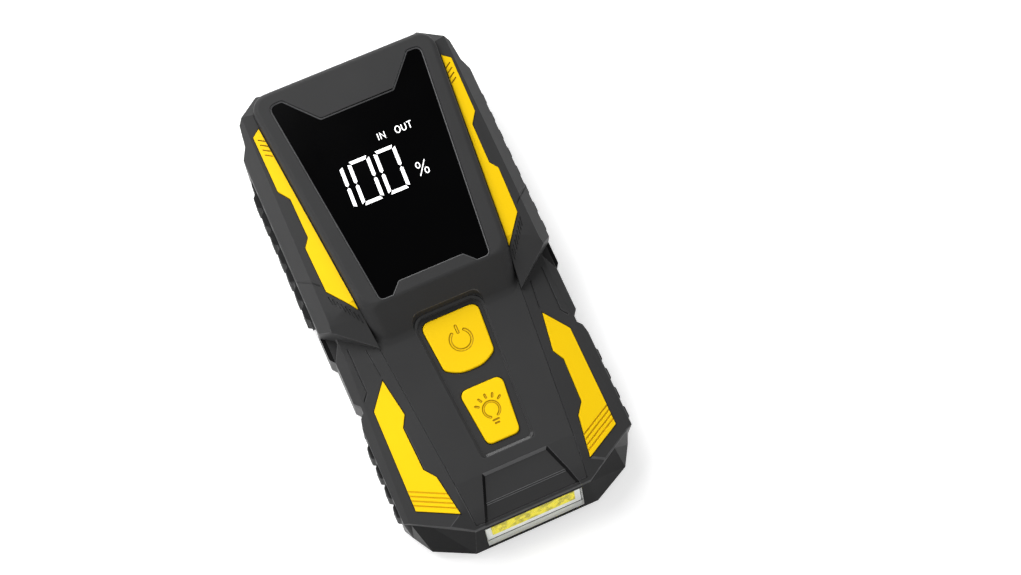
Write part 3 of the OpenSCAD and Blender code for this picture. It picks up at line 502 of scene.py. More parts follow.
FINISHES = {
    finish.name: finish
    for finish in (
        # The lighter edge colours of the charcoal, black and rubber mouldings are a painted highlight on
        # their rounded edges, with scuffs.
        Moulding("charcoal_shell", (0.038, 0.038, 0.0385), (0.095, 0.095, 0.097), 0.45, 0.05, painted_light_share=0.5),
        Moulding("charcoal_panel", (0.037, 0.037, 0.0375), (0.1, 0.1, 0.103), 0.43, 0.06, painted_light_share=0.55),
        Moulding("black_shell", (0.008, 0.008, 0.0083), (0.05, 0.05, 0.052), 0.3, 0.03, cloud=0.1),
        # The yellow's dark edge colour is painted shade in the button and strip grooves, with scuffs.
        Moulding("yellow_engraved", (0.93, 0.6, 0.003), (0.3, 0.15, 0.003), 0.5, 0.09, grain_bump=0.12,
                 cloud=0.03, wear=0.25, painted_light_share=0.9),
        Moulding("bevel_gloss", (0.011, 0.011, 0.0115), (0.05, 0.05, 0.052), 0.28, 0.3, grain_bump=0.08),
        # A lighter grey than the panel, painted as the highlight line of the window's bead.
        Moulding("bead_painted_highlight", (0.05, 0.05, 0.052), (0.07, 0.07, 0.072), 0.4, 0.4, grain_bump=0.1),
        # A lighter grey painted as the highlight on the step's head bevel and ridge.
        Moulding("step_painted_highlight", (0.085, 0.085, 0.087), (0.1, 0.1, 0.102), 0.4, 0.4, grain_bump=0.1),
        Moulding("black_rubber", (0.015, 0.015, 0.0155), (0.042, 0.042, 0.043), 0.6, 0.1, grain_scale=1900.0,
                 grain_bump=0.6),
        Moulding("display_black", (0.006, 0.006, 0.007), (0.02, 0.02, 0.021), 0.5, 0.3),
        Moulding("component_black", (0.012, 0.012, 0.013), (0.05, 0.05, 0.052), 0.4, 0.4),
        Moulding("tray_black", (0.018, 0.018, 0.019), (0.06, 0.06, 0.062), 0.55, 0.3),
        Moulding("socket_blue", (0.012, 0.075, 0.33), (0.06, 0.16, 0.5), 0.4, 0.4),
        Moulding("insert_white", (0.78, 0.78, 0.75), (0.85, 0.85, 0.83), 0.4, 0.4),
        Moulding("foam_grey", (0.05, 0.05, 0.052), (0.08, 0.08, 0.082), 0.9, 0.1, grain_scale=1200.0,
                 grain_bump=1.2),
        Moulding("lamp_white", (0.8, 0.8, 0.79), (0.86, 0.86, 0.85), 0.35, 0.4, grain_bump=0.1, cloud=0.02),
        Metal("dark_screw_steel", (0.16, 0.16, 0.17), 0.38),
        Metal("ground_pin_steel", (0.62, 0.63, 0.65), 0.25, (1.0, 1.0, 0.05)),
        Metal("nickel_shell", (0.72, 0.72, 0.71), 0.24, (0.05, 1.0, 1.0)),
        Metal("gold_contact", (0.86, 0.6, 0.25), 0.22, (0.05, 1.0, 1.0)),
        Metal("bare_copper", (0.72, 0.34, 0.17), 0.32),
        Metal("cell_foil", (0.66, 0.67, 0.69), 0.4),
        Metal("capacitor_can", (0.72, 0.73, 0.75), 0.28, (1.0, 1.0, 0.05)),
        SolderMask("board_green", (0.012, 0.1, 0.035), (0.03, 0.18, 0.07)),
        TintedWindow("tinted_window", (0.0006, 0.0006, 0.0007)),
        ClearPlastic("clear_window", (0.97, 0.98, 0.98)),
        Phosphor("phosphor", (0.9, 0.76, 0.006), (0.5, 0.42, 0.005)),
        LitSegment("lit_white", WHITE),
    )
}


@cache
def finish(name: str) -> bpy.types.Material:
    """The material of a named finish, made on its first use."""
    return FINISHES[name].material()


# ---------------------------------------------------------------- pieces


def dress(piece: Piece, finish_name: str) -> None:
    """Gives a piece one finish all over."""
    piece.data.materials.clear()
    piece.data.materials.append(finish(finish_name))


def dress_nodes(**finish_names: str) -> None:
    """Dresses construction nodes, each with the finish that stands under its name."""
    for node, finish_name in finish_names.items():
        dress(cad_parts[node], finish_name)


def link(name: str, data: bpy.types.ID) -> Piece:
    """Puts a mesh, a lamp or a camera into the scene.

    Args:
        name: Name of the object.
        data: What the object holds.

    Returns:
        The object.
    """
    thing = bpy.data.objects.new(name, data)
    bpy.context.scene.collection.objects.link(thing)
    return thing


def new_piece(name: str, shape: Shape, finish_name: str, body: str = HOUSING) -> Piece:
    """Puts a shape worked out as arrays into the scene, on its body.

    Args:
        name: Name of the piece.
        shape: Points in metres, and the corners of each face, anticlockwise from outside.
        finish_name: Finish of the piece.
        body: Body that the piece rides on.

    Returns:
        The piece.
    """
    mesh = bpy.data.meshes.new(name)
    mesh.from_pydata(shape[0].tolist(), [], shape[1])
    mesh.update()
    piece = link(name, mesh)
    dress(piece, finish_name)
    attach(piece, body)
    LOG.info("made %s: %d faces", name, len(mesh.polygons))
    return piece


def points_of(node: str) -> np.ndarray:
    """The points of a construction node, one row each."""
    return np.array([v.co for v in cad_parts[node].data.vertices])


def distinct(points: np.ndarray, decimals: int = 6) -> np.ndarray:
    """The points sorted and without doubles, to the micrometre."""
    return np.unique(np.round(points, decimals), axis=0)


def merged_copy(node: str) -> bmesh.types.BMesh:
    """A construction node's mesh with its doubled points merged.

    Args:
        node: Name of the node.

    Returns:
        The copy, which the caller frees.
    """
    shape = bmesh.new()
    shape.from_mesh(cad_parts[node].data)
    bmesh.ops.remove_doubles(shape, verts=shape.verts, dist=MERGE_GAP)
    return shape


def read(items: bpy.types.bpy_prop_collection, name: str, width: int = 1, kind: type = float) -> np.ndarray:
    """One property of all items of a mesh.

    Args:
        items: Faces, corners, points or attribute values.
        name: Name of the property.
        width: Numbers in each value.
        kind: Type of the numbers.

    Returns:
        One number or one row an item.
    """
    values = np.zeros(len(items) * width, kind)
    items.foreach_get(name, values)
    return values if width == 1 else values.reshape(-1, width)


def write_mask(mesh: Mesh, values: np.ndarray, domain: str = "FACE") -> None:
    """Writes the mask of painted light and wear (rounded edges, groove walls or strip grooves), one value a
    face or a point.
    """
    layer = mesh.attributes.get(LIGHT_AND_WEAR_MASK) or mesh.attributes.new(LIGHT_AND_WEAR_MASK, "FLOAT", domain)
    layer.data.foreach_set("value", values.astype(np.float32))


# ---------------------------------------------------------------- softened copies


def spread(first: object, seen: set, beside: Callable[[object], list]) -> list:
    """What can be reached from a first item, step by step.

    Args:
        first: The first face or point.
        seen: Items taken so far, which grows.
        beside: Gives the items beside one.

    Returns:
        The items reached.
    """
    seen.add(first)
    reached, waiting = [], [first]
    while waiting:
        reached.append(waiting.pop())
        for other in beside(reached[-1]):
            if other not in seen:
                seen.add(other)
                waiting.append(other)
    return reached


def flat_regions(mesh: bmesh.types.BMesh, limit: float, speck: float = 1e-6 * MM**2) -> list[list]:
    """Groups neighbouring faces that lie in one plane.

    Args:
        mesh: The mesh.
        limit: Largest angle between a face and the group's first face, in radians.
        speck: Area below which a face joins any group.

    Returns:
        The groups, each a list of faces.
    """
    regions, seen = [], set()
    for first in sorted(mesh.faces, key=lambda f: -f.calc_area()):
        if first not in seen:
            regions.append(spread(first, seen, lambda face: [
                other for edge in face.edges for other in edge.link_faces
                if other.normal.angle(first.normal, math.pi) < limit or other.calc_area() < speck
            ]))
    return regions


def border_loops(region: list[bmesh.types.BMFace]) -> list[np.ndarray]:
    """The closed outlines of a group of faces.

    Args:
        region: The faces.

    Returns:
        The points of each outline, in no order.
    """
    inside, ahead = set(region), {}
    for edge in (e for face in region for e in face.edges):
        if sum(f in inside for f in edge.link_faces) == 1:
            for vert in edge.verts:
                ahead.setdefault(vert, []).append(edge)
    loops, seen = [], set()
    for start in ahead:
        if start not in seen:
            loop = spread(start, seen, lambda vert: [edge.other_vert(vert) for edge in ahead[vert]])
            loops.append(np.array([vert.co[:] for vert in loop]))
    return loops


def stabbing_places(spans: list[Pair]) -> list[float]:
    """The fewest places that meet every span: the spans are taken by their ends, and a span that
    shares room with the last group joins it. Each place is the middle of its group's shared room.

    Args:
        spans: Low and high end of each span.

    Returns:
        The places.
    """
    rooms: list[list[float]] = []
    for low, high in sorted(spans, key=lambda span: span[1]):
        if rooms and low <= rooms[-1][1]:
            rooms[-1] = [max(low, rooms[-1][0]), min(high, rooms[-1][1])]
        else:
            rooms.append([low, high])
    return [(low + high) / 2 for low, high in rooms]


@dataclass
class Softener:
    """Copies a construction solid and rounds its sharp edges as a moulding tool does.

    The copy is merged and its coplanar triangles are joined; a flat face with holes is first cut
    through them, so that no face runs round a hole. Each edge that is sharper than the limit is rounded
    by the radius, or by less where a face beside it is narrow. Where a corner can't take the radius,
    its new points leave the solid's surface, so the radius is made smaller there and the rounding is
    done again.
    """

    radius: float
    sharp_angle: float = 28.0
    flat_angle: float = 0.6
    narrow_share: float = 0.38
    stray_share: float = 0.9
    hole_margin: float = 0.2
    steepest: float = 0.6
    turned_cosine: float = -0.1
    segments: int = 2
    halvings: int = 4
    tries: int = 8
    speck: float = 0.03 * MM**2

    def soften(self, node: str, name: str, finish_name: str, slot: str, body: str = HOUSING) -> Piece:
        """Makes the rounded copy, which replaces its node.

        Args:
            node: Construction node to copy.
            name: Name of the piece.
            finish_name: Finish of the piece.
            slot: Not used.
            body: Body that the piece rides on.

        Returns:
            The piece.
        """
        piece = link(name, self.merged(node, name))
        for _ in range(2):
            piece.data.materials.append(finish(finish_name))
        self.round_edges(piece)
        self.finish_shading(piece.data)
        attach(piece, body)
        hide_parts(node)
        LOG.info("softened %s: %d faces", name, len(piece.data.polygons))
        return piece

    def merged(self, node: str, name: str) -> Mesh:
        """Copies a node's mesh, joins its coplanar triangles and weights its sharp edges. The width of
        a face, which limits the weight, is twice its area over its outline's length.

        Args:
            node: Construction node to copy.
            name: Name of the new mesh.

        Returns:
            The new mesh, which holds each point's own number for the rounding to pass on.
        """
        shape = merged_copy(node)
        bmesh.ops.dissolve_degenerate(shape, dist=MERGE_GAP, edges=shape.edges)
        self.cut_through_holes(shape)
        bmesh.ops.dissolve_limit(
            shape, angle_limit=math.radians(self.flat_angle), use_dissolve_boundaries=False,
            verts=shape.verts, edges=shape.edges, delimit={"SEAM"},
        )
        bmesh.ops.dissolve_degenerate(shape, dist=MERGE_GAP, edges=shape.edges)
        bmesh.ops.delete(shape, geom=[e for e in shape.edges if not e.link_faces], context="EDGES")
        width = {f: 2 * f.calc_area() / max(sum(e.calc_length() for e in f.edges), TINY) for f in shape.faces}
        weight = shape.edges.layers.float.new("bevel_weight_edge")
        number = shape.verts.layers.int.new(POINT_NUMBER)
        for edge in shape.edges:
            edge.seam = False
            if len(edge.link_faces) == 2 and edge.calc_face_angle(0.0) > math.radians(self.sharp_angle):
                narrow = min(width[f] for f in edge.link_faces)
                edge[weight] = min(1.0, self.narrow_share * narrow / self.radius)
        for index, vert in enumerate(shape.verts):
            vert[number] = index
        mesh = bpy.data.meshes.new(name)
        shape.to_mesh(mesh)
        shape.free()
        mesh.shade_smooth()
        return mesh

    def cut_through_holes(self, shape: bmesh.types.BMesh) -> None:
        """Cuts each flat face that has holes along lines through them, and marks the cuts. The lines
        run square to the axis that needs the fewest of them, out of those that aren't too steep to the
        face. A line keeps a margin from the ends of its holes.

        Args:
            shape: The merged copy, still in triangles.
        """
        for region in flat_regions(shape, math.radians(self.flat_angle)):
            holes = sorted(border_loops(region), key=lambda loop: np.linalg.norm(np.ptp(loop, axis=0)))[:-1]
            if not holes:
                continue
            normal = np.array(max(region, key=lambda f: f.calc_area()).normal)
            choices = []
            for axis in np.eye(3)[np.abs(normal) <= self.steepest]:
                across = axis - normal * (axis @ normal)
                across /= np.linalg.norm(across)
                ends = [((hole @ across).min(), (hole @ across).max()) for hole in holes]
                inner = [(a + self.hole_margin * (b - a), b - self.hole_margin * (b - a)) for a, b in ends]
                choices.append((stabbing_places(inner), across))
            places, across = min(choices, key=lambda choice: len(choice[0]))
            for place in places:
                geom = {part for f in region for part in (f, *f.edges, *f.verts)}
                cut = bmesh.ops.bisect_plane(
                    shape, geom=list(geom), dist=MERGE_GAP / 2, plane_co=Vector(across * place),
                    plane_no=Vector(across),
                )
                region = [part for part in cut["geom"] if isinstance(part, bmesh.types.BMFace)]
                inside = set(region)
                for edge in cut["geom_cut"]:
                    if isinstance(edge, bmesh.types.BMEdge) and inside.issuperset(edge.link_faces):
                        edge.seam = True

    def round_edges(self, piece: Piece) -> None:
        """Rounds the weighted edges and marks the new faces by their material's number.

        Args:
            piece: The merged copy.
        """
        bevel = piece.modifiers.new("tool_radius", "BEVEL")
        bevel.limit_method = "WEIGHT"
        bevel.width = self.radius
        bevel.segments = self.segments
        bevel.use_clamp_overlap = False
        bevel.material = 1
        source, name = piece.data, piece.data.name
        surface = BVHTree.FromPolygons(
            [v.co.copy() for v in source.vertices], [tuple(p.vertices) for p in source.polygons]
        )
        for turn in range(self.tries):
            final = evaluated(piece)
            strayed = self.strayed_points(final, surface)
            if not strayed or turn == self.tries - 1:
                break
            weights = source.attributes["bevel_weight_edge"].data
            for edge in source.edges:
                if strayed.intersection(edge.vertices):
                    weights[edge.index].value *= 0.5 if turn < self.halvings else 0.0
            source.update()
            bpy.data.meshes.remove(final)
        LOG.info("rounded %s in %d turns, %d points left", piece.name, turn + 1, len(strayed))
        piece.modifiers.clear()
        piece.data = final
        bpy.data.meshes.remove(source)
        final.name = name

    def strayed_points(self, mesh: Mesh, surface: BVHTree) -> set[int]:
        """Numbers of the source's points whose rounding leaves the surface or folds over.

        Args:
            mesh: The rounded mesh.
            surface: The source's surface.

        Returns:
            The points' numbers.
        """
        number = read(mesh.attributes[POINT_NUMBER].data, "value", kind=np.int32).tolist()
        reach = self.stray_share * self.radius
        strayed = {number[v.index] for v in mesh.vertices if surface.find_nearest(v.co)[3] > reach}
        folded = folded_faces(mesh)
        for face in mesh.polygons:
            turned = folded[face.index]
            if face.area > self.speck and len(face.vertices) < 5:
                turned |= surface.find_nearest(face.center)[1].dot(face.normal) < self.turned_cosine
            if turned:
                strayed.update(number[v] for v in face.vertices)
        return strayed

    def finish_shading(self, mesh: Mesh) -> None:
        """Writes the mask of rounded faces, which get the painted edge highlight and scuffs, and the corner
        normals, and drops what only the rounding needed.

        Args:
            mesh: The rounded mesh.
        """
        rounded = read(mesh.polygons, "material_index", kind=np.int32) == 1
        # The rounded faces take the painted edge highlight.
        write_mask(mesh, rounded)
        mesh.polygons.foreach_set("material_index", np.zeros(len(rounded), np.int32))
        mesh.materials.pop()
        mesh.attributes.remove(mesh.attributes[POINT_NUMBER])
        mesh.normals_split_custom_set(corner_normals(mesh, rounded).tolist())


def evaluated(piece: Piece) -> Mesh:
    """The piece's mesh with its modifiers applied.

    Args:
        piece: The piece.

    Returns:
        A new mesh.
    """
    depsgraph = bpy.context.evaluated_depsgraph_get()
    depsgraph.update()
    applied = piece.evaluated_get(depsgraph)
    return bpy.data.meshes.new_from_object(applied, preserve_all_data_layers=True, depsgraph=depsgraph)


def folded_faces(mesh: Mesh, excess: float = 1.01, patch_excess: float = 1.6) -> np.ndarray:
    """Faces whose outline crosses itself: their triangles together are larger than the face. A small
    excess is the twist of a corner patch, which has four points, and is let be.

    Args:
        mesh: The mesh.
        excess: Largest share of the face's area that its triangles may have together.
        patch_excess: The same for a face of up to four corners.

    Returns:
        One truth value a face.
    """
    mesh.calc_loop_triangles()
    corners = read(mesh.loop_triangles, "vertices", 3, np.int32)
    a, b, c = read(mesh.vertices, "co", 3)[corners].transpose(1, 0, 2)
    whole = read(mesh.polygons, "area")
    owner = read(mesh.loop_triangles, "polygon_index", kind=np.int32)
    total = np.bincount(owner, np.linalg.norm(np.cross(b - a, c - a), axis=1) / 2, minlength=len(whole))
    sides = read(mesh.polygons, "loop_total", kind=np.int32)
    return total > whole * np.where(sides > 4, excess, patch_excess) + TINY


def corner_normals(
    mesh: Mesh, rounded: np.ndarray, blend: float = 52.0, fillet: float = 28.0, narrow: float = 3 * MM,
    rounded_weight: float = 0.02,
) -> np.ndarray:
    """Normals that keep flat faces flat and run smoothly over the roundings between them.

    A corner's normal is the weighted sum of the normals of the faces round its point that belong
    together with its own face: two faces do if one is a rounding and they meet at less than the blend
    angle, or if one is narrow and they meet at less than the fillet angle. The weight is the area
    times the square of the width, and a rounding's is made smaller.

    Args:
        mesh: The mesh.
        rounded: One truth value a face, true on the roundings.
        blend: Largest angle at which a rounding runs into another face, in degrees.
        fillet: Largest angle at which a narrow face runs into another, in degrees.
        narrow: Width below which a face counts as narrow.
        rounded_weight: Share of its weight that a rounding keeps.

    Returns:
        One normal a corner.
    """
    normal, area = read(mesh.polygons, "normal", 3), read(mesh.polygons, "area")
    sides, first = (read(mesh.polygons, name, kind=np.int32) for name in ("loop_total", "loop_start"))
    point, co = read(mesh.loops, "vertex_index", kind=np.int32), read(mesh.vertices, "co", 3)
    owner = np.repeat(np.arange(len(area)), sides)
    ahead = np.arange(len(point)) + 1
    ahead[first + sides - 1] = first
    outline = np.bincount(owner, np.linalg.norm(co[point[ahead]] - co[point], axis=1), minlength=len(area))
    width = 2 * area / np.maximum(outline, TINY)
    weight = area * width**2 * np.where(rounded, rounded_weight, 1.0) + TINY**2
    order = np.argsort(point, kind="stable")
    shared = np.bincount(point, minlength=len(co))
    each = shared[point[order]]
    own = np.repeat(order, each)
    step = np.arange(len(own)) - np.repeat(np.cumsum(each) - each, each)
    other = order[(np.cumsum(shared) - shared)[point[own]] + step]
    a, b = owner[own], owner[other]
    cosine = np.einsum("ij,ij->i", normal[a], normal[b])
    with_rounding = (rounded[a] | rounded[b]) & (cosine > math.cos(math.radians(blend)))
    with_fillet = (np.minimum(width[a], width[b]) < narrow) & (cosine > math.cos(math.radians(fillet)))
    joined = (a == b) | with_rounding | with_fillet
    total = np.zeros((len(point), 3))
    np.add.at(total, own[joined], normal[b[joined]] * weight[b[joined], None])
    return total / np.linalg.norm(total, axis=1)[:, None]


# ---------------------------------------------------------------- surfaces worked out as arrays


def mitres(path: np.ndarray, ring: bool, least: float = 0.0) -> np.ndarray:
    """Steps to the right of a path, for a band one unit wide: each is square to the mean of the two
    directions at its point, and as long as one over the cosine of half the turn.

    Args:
        path: Points in plan. A ring's first point comes again at its end.
        ring: Whether the path is a ring.
        least: Lowest cosine, which limits the steps at sharp turns.

    Returns:
        One step a point.
    """
    ways = np.diff(path, axis=0)
    ways /= np.linalg.norm(ways, axis=1)[:, None]
    after = np.vstack([ways, ways[:1] if ring else ways[-1:]])
    middle = np.vstack([ways[-1:] if ring else ways[:1], ways]) + after
    middle /= np.linalg.norm(middle, axis=1)[:, None]
    cosine = np.maximum(np.einsum("ij,ij->i", middle, after), least)
    return np.stack([middle[:, 1], -middle[:, 0]], 1) / cosine[:, None]


def ribbon(path: np.ndarray, width: float) -> np.ndarray:
    """Outline of a flat band along a path. A path that ends where it starts makes a ring, which is cut
    by a hairline at its start.

    Args:
        path: Points of the centre line.
        width: Width of the band.

    Returns:
        The outline, anticlockwise.
    """
    aside = mitres(path, ring=np.allclose(path[0], path[-1]), least=0.5) * width / 2
    return np.vstack([path + aside, (path - aside)[::-1]])


def skin(rows: int, n: int, ring: bool = False, start: int = 0) -> np.ndarray:
    """Quads between rows of points, each row a closed line. On a ring the last row meets the first.
    The corners of a quad are its point, that of the next row, the one beside that and the one beside it.

    Args:
        rows: Number of rows.
        n: Points in each row.
        ring: Whether the rows close into a ring.
        start: Number of the first point.

    Returns:
        The corners of each quad.
    """
    i, j = np.arange(rows)[:, None] * n + start, np.arange(n)[None, :]
    i_next, j_next = np.roll(i, -1, 0), np.roll(j, -1, 1)
    quads = np.stack([i + j, i_next + j, i_next + j_next, i + j_next], -1)
    return quads[:None if ring else -1].reshape(-1, 4)


def sweep(outline: np.ndarray, profile: Profile, height: float) -> Shape:
    """A closed bead round an outline: at each point the profile is set square to the outline.

    Args:
        outline: Plan outline, anticlockwise.
        profile: Closed section in millimetres, as the distance outwards and the height of each point,
            clockwise when looked at along the outline.
        height: Height that the profile is measured from.

    Returns:
        The points and the faces.
    """
    section = np.array(profile) * MM + [0, height]
    outward = mitres(np.vstack([outline, outline[:1]]), ring=True, least=0.4)[:-1]
    plan = outline[:, None, :] + outward[:, None, :] * section[None, :, :1]
    up = np.broadcast_to(section[None, :, 1:], (*plan.shape[:2], 1))
    return np.concatenate([plan, up], 2).reshape(-1, 3), skin(len(outline), len(section), ring=True).tolist()


def strip_solid(sections: np.ndarray) -> Shape:
    """A closed solid through sections that follow each other, with a cap at each end.

    Args:
        sections: The points of each section in turn, anticlockwise when looked at from its far end.

    Returns:
        The points and the faces.
    """
    n, m = sections.shape[:2]
    quads = np.roll(skin(n, m)[:, ::-1], 1, 1)
    ends = [np.arange(m)[::-1].tolist(), (np.arange(m) + (n - 1) * m).tolist()]
    return sections.reshape(-1, 3), quads.tolist() + ends


def plates(outlines: list[np.ndarray], low: float, high: float) -> Shape:
    """Closed plates over plan outlines, as one shape.

    Args:
        outlines: Plan outlines, anticlockwise.
        low: Height of the bases.
        high: Height of the lids.

    Returns:
        The points and the faces.
    """
    verts, faces = np.zeros((0, 3)), []
    for outline in outlines:
        levels = [np.column_stack([outline, np.full(len(outline), z)]) for z in (low, high)]
        points, sides = strip_solid(np.stack(levels))
        faces += [[len(verts) + corner for corner in side] for side in sides]
        verts = np.vstack([verts, points])
    return verts, faces


def top_outline(node: str, level: float = 0.9) -> np.ndarray:
    """The outline of a construction solid's flat top.

    Args:
        node: Name of the node.
        level: Least upward part of the normal of a face on the top.

    Returns:
        The outline, anticlockwise.
    """
    shape = merged_copy(node)
    top = max(v.co.z for v in shape.verts) - SLACK
    lid = [f for f in shape.faces if f.normal.z > level and f.calc_center_median().z > top]
    ahead = {
        corner.vert: corner.link_loop_next.vert
        for f in lid for corner in f.loops if sum(side in lid for side in corner.edge.link_faces) == 1
    }
    path = [next(iter(ahead))]
    while ahead[path[-1]] is not path[0]:
        path.append(ahead[path[-1]])
    outline = np.array([v.co[:2] for v in path])
    shape.free()
    return outline


def oval(x: float, y: float, half_w: float, half_h: float, count: int) -> np.ndarray:
    """Points of an oval, clockwise from its top, with the first again at the end."""
    turn = np.linspace(0, 2 * math.pi, count)
    return np.column_stack([x + half_w * np.sin(turn), y + half_h * np.cos(turn)])


def polar(radius: float, turn: float) -> Pair:
    """The point at a distance from the middle, in a direction in degrees."""
    return radius * math.cos(math.radians(turn)), radius * math.sin(math.radians(turn))


def line_distance(points: np.ndarray, a: Pair, b: Pair) -> np.ndarray:
    """Distance from each point to the line from a to b: the point is put on the line at the nearest
    place between its ends, and the rest is the distance.

    Args:
        points: Points in plan.
        a: First end in millimetres.
        b: Second end in millimetres.

    Returns:
        The distances.
    """
    start, way = np.array(a) * MM, (np.array(b) - a) * MM
    along = np.clip(((points - start) @ way) / (way @ way), 0, 1)
    return np.linalg.norm(points - start - along[..., None] * way, axis=-1)


def arc_distance(points: np.ndarray, radius: float, gap_at: float, half_gap: float) -> np.ndarray:
    """Distance from each point to a ring with a gap: the difference from the radius, or, within the
    gap, the distance to the nearer end of the ring.

    Args:
        points: Points in plan, measured from the ring's centre.
        radius: Radius of the ring.
        gap_at: Direction of the gap's middle in degrees.
        half_gap: Half of the gap in degrees.

    Returns:
        The distances.
    """
    angle = np.degrees(np.arctan2(points[..., 1], points[..., 0]))
    off = np.abs((angle - gap_at + 180) % 360 - 180)
    ends = [np.linalg.norm(points - polar(radius, gap_at + side), axis=-1) for side in (-half_gap, half_gap)]
    return np.where(off > half_gap, np.abs(np.linalg.norm(points, axis=-1) - radius), np.minimum(*ends))


# ---------------------------------------------------------------- sub-assemblies


@dataclass
class Housing:
    """Rear shell, front shell and centre panel, with the fasteners and feet below."""

    shell_edge: float = 0.5 * MM
    panel_edge: float = 0.4 * MM
    foot_edge: float = 0.3 * MM

    def build(self) -> None:
        """Softens the three mouldings and the feet, and dresses the screws."""
        shell = Softener(self.shell_edge)
        shell.soften("rear_cover", "rear_shell", "black_shell", "rear_shell")
        shell.soften("front_cover", "front_shell", "charcoal_shell", "front_shell")
        Softener(self.panel_edge).soften("centre_panel", "panel_moulding", "charcoal_panel", "panel")
        Softener(self.foot_edge).soften("feet", "rubber_feet", "black_rubber", "rubber")
        dress_nodes(case_screws="dark_screw_steel")


@dataclass
class Screen:
    """Tinted window with a lit charge reading: three seven-segment digits, two words and a sign."""

    edge: float = 0.22 * MM
    lift: float = 0.015 * MM
    thickness: float = 0.03 * MM
    digit_w: float = 8.9 * MM
    digit_h: float = 18.4 * MM
    digit_base: float = 36.2 * MM
    bar_w: float = 1.35 * MM
    bar_gap: float = 0.22 * MM
    slant: float = 0.045
    digit_x: tuple[float, ...] = (-24.4 * MM, -13.4 * MM, -2.7 * MM)
    stroke: float = 0.36 * MM
    bead: Profile = (
        (0.10, -0.1), (0.10, 0.2), (0.0, 0.34), (-0.2, 0.4),
        (-0.4, 0.34), (-0.52, 0.2), (-0.55, 0.01), (-0.4, -0.1),
    )

    def build(self) -> None:
        """Softens the window, lays the lit reading on it and sets the bead round it, whose lighter grey is a
        painted highlight line.
        """
        Softener(self.edge).soften("display_window", "screen_window", "tinted_window", "screen_glass")
        dress_nodes(display_panel="display_black", display_board="board_green")
        glass_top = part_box("display_window")[1].z
        low = glass_top + self.lift
        for name, outlines in (("lit_digits", self.digits()), ("lit_words", self.words())):
            new_piece(name, plates(outlines, low, low + self.thickness), "lit_white")
        bead = sweep(top_outline("display_window"), self.bead, glass_top)
        # The bead's lighter grey is a painted highlight line; its rounded top also catches the lamps.
        new_piece("window_bead", bead, "bead_painted_highlight").data.shade_smooth()

    def digits(self) -> list[np.ndarray]:
        """Outlines of the bars of 1, 0 and 0."""
        shown = zip(self.digit_x, ("BC", "ABCDEF", "ABCDEF"))
        return [self.bar(x, which) for x, bars in shown for which in bars]

    def bar(self, x: float, which: str) -> np.ndarray:
        """Outline of one bar of a digit: a strip with mitred ends, leaning with the digit. The lower left
        bar and the top one are drawn, and the others are those two turned over.

        Args:
            x: Left side of the digit.
            which: Letter of the bar, from A at the top, clockwise.

        Returns:
            The outline, anticlockwise.
        """
        w, h, t, g = self.digit_w, self.digit_h, self.bar_w, self.bar_gap
        m = h / 2
        upright = [[0, t / 2 + g], [t, t + g], [t, m - t / 2 - g], [t / 2, m - g], [0, m - t / 2 - g]]
        level = [[t / 2 + g, h], [t + g, h - t], [w - t - g, h - t], [w - t / 2 - g, h]]
        points = np.array(level if which in "AD" else upright)
        for turned_over, axis, size in (("BC", 0, w), ("BDF", 1, h)):
            if which in turned_over:
                points[:, axis] = size - points[:, axis]
                points = points[::-1]
        points[:, 0] += (points[:, 1] - m) * self.slant
        return points + [x, self.digit_base]

    def words(self) -> list[np.ndarray]:
        """Strokes of the words over the reading and of the sign beside it: each letter is drawn on a
        square of one unit, and put at its place and size in millimetres.

        Returns:
            One outline a stroke.
        """
        letters = {
            "I": [[(0.5, 0), (0.5, 1)]],
            "N": [[(0, 0), (0, 1), (1, 0), (1, 1)]],
            "O": [oval(0.5, 0.5, 0.5, 0.5, 25)],
            "U": [[(0, 1), (0, 0.3), (0.15, 0.08), (0.5, 0), (0.85, 0.08), (1, 0.3), (1, 1)]],
            "T": [[(0, 1), (1, 1)], [(0.5, 1), (0.5, 0)]],
            "%": [[(0.1, 0), (0.9, 1)], oval(0.2, 0.77, 0.17, 0.2, 17), oval(0.8, 0.23, 0.17, 0.2, 17)],
        }
        layout = (
            ("I", 1.7, 58.2, 0.8, 2.7), ("N", 3.1, 58.2, 1.7, 2.7),
            ("O", 9.2, 58.1, 1.9, 2.7), ("U", 11.9, 58.1, 1.6, 2.7), ("T", 14.2, 58.1, 1.8, 2.7),
            ("%", 10.4, 38.6, 4.5, 5.7),
        )
        outlines = []
        for letter, x, y, w, h in layout:
            for stroke in letters[letter]:
                path = np.array(stroke) * [w * MM, h * MM]
                path[:, 0] += path[:, 1] * self.slant
                outlines.append(ribbon(path + [x * MM, y * MM], self.stroke))
        return outlines


@dataclass(frozen=True)
class Sign:
    """An engraved sign, in millimetres from its middle: a ring with a gap, and straight lines.

    A line is given by its two ends and by how far it is drawn in, which engraves it narrower.
    """

    ring_r: float
    gap_at: float
    half_gap: float
    lines: tuple[tuple[Pair, Pair, float], ...]

    def distance(self, points: np.ndarray) -> np.ndarray:
        """Distance of each point from the sign: the least of those from its ring and its lines.

        Args:
            points: Points in plan, measured from the sign's middle.

        Returns:
            The distances.
        """
        marks = [arc_distance(points, self.ring_r * MM, self.gap_at, self.half_gap)]
        marks += [line_distance(points, a, b) + drawn_in * MM for a, b, drawn_in in self.lines]
        return np.minimum.reduce(marks)


class Icon(Enum):
    """The sign engraved in a button."""

    POWER = Sign(4.1, 90, 38, (((0, 3.0), (0, 5.6), 0.0),))
    LAMP = Sign(3.1, -90, 28, (
        *(((-half, y), (half, y), 0.15) for half, y in ((1.1, -4.2), (0.7, -5.5))),
        *((polar(4.9, turn), polar(6.1, turn), 0.05) for turn in (36, 64, 92, 120, 148)),
    ))


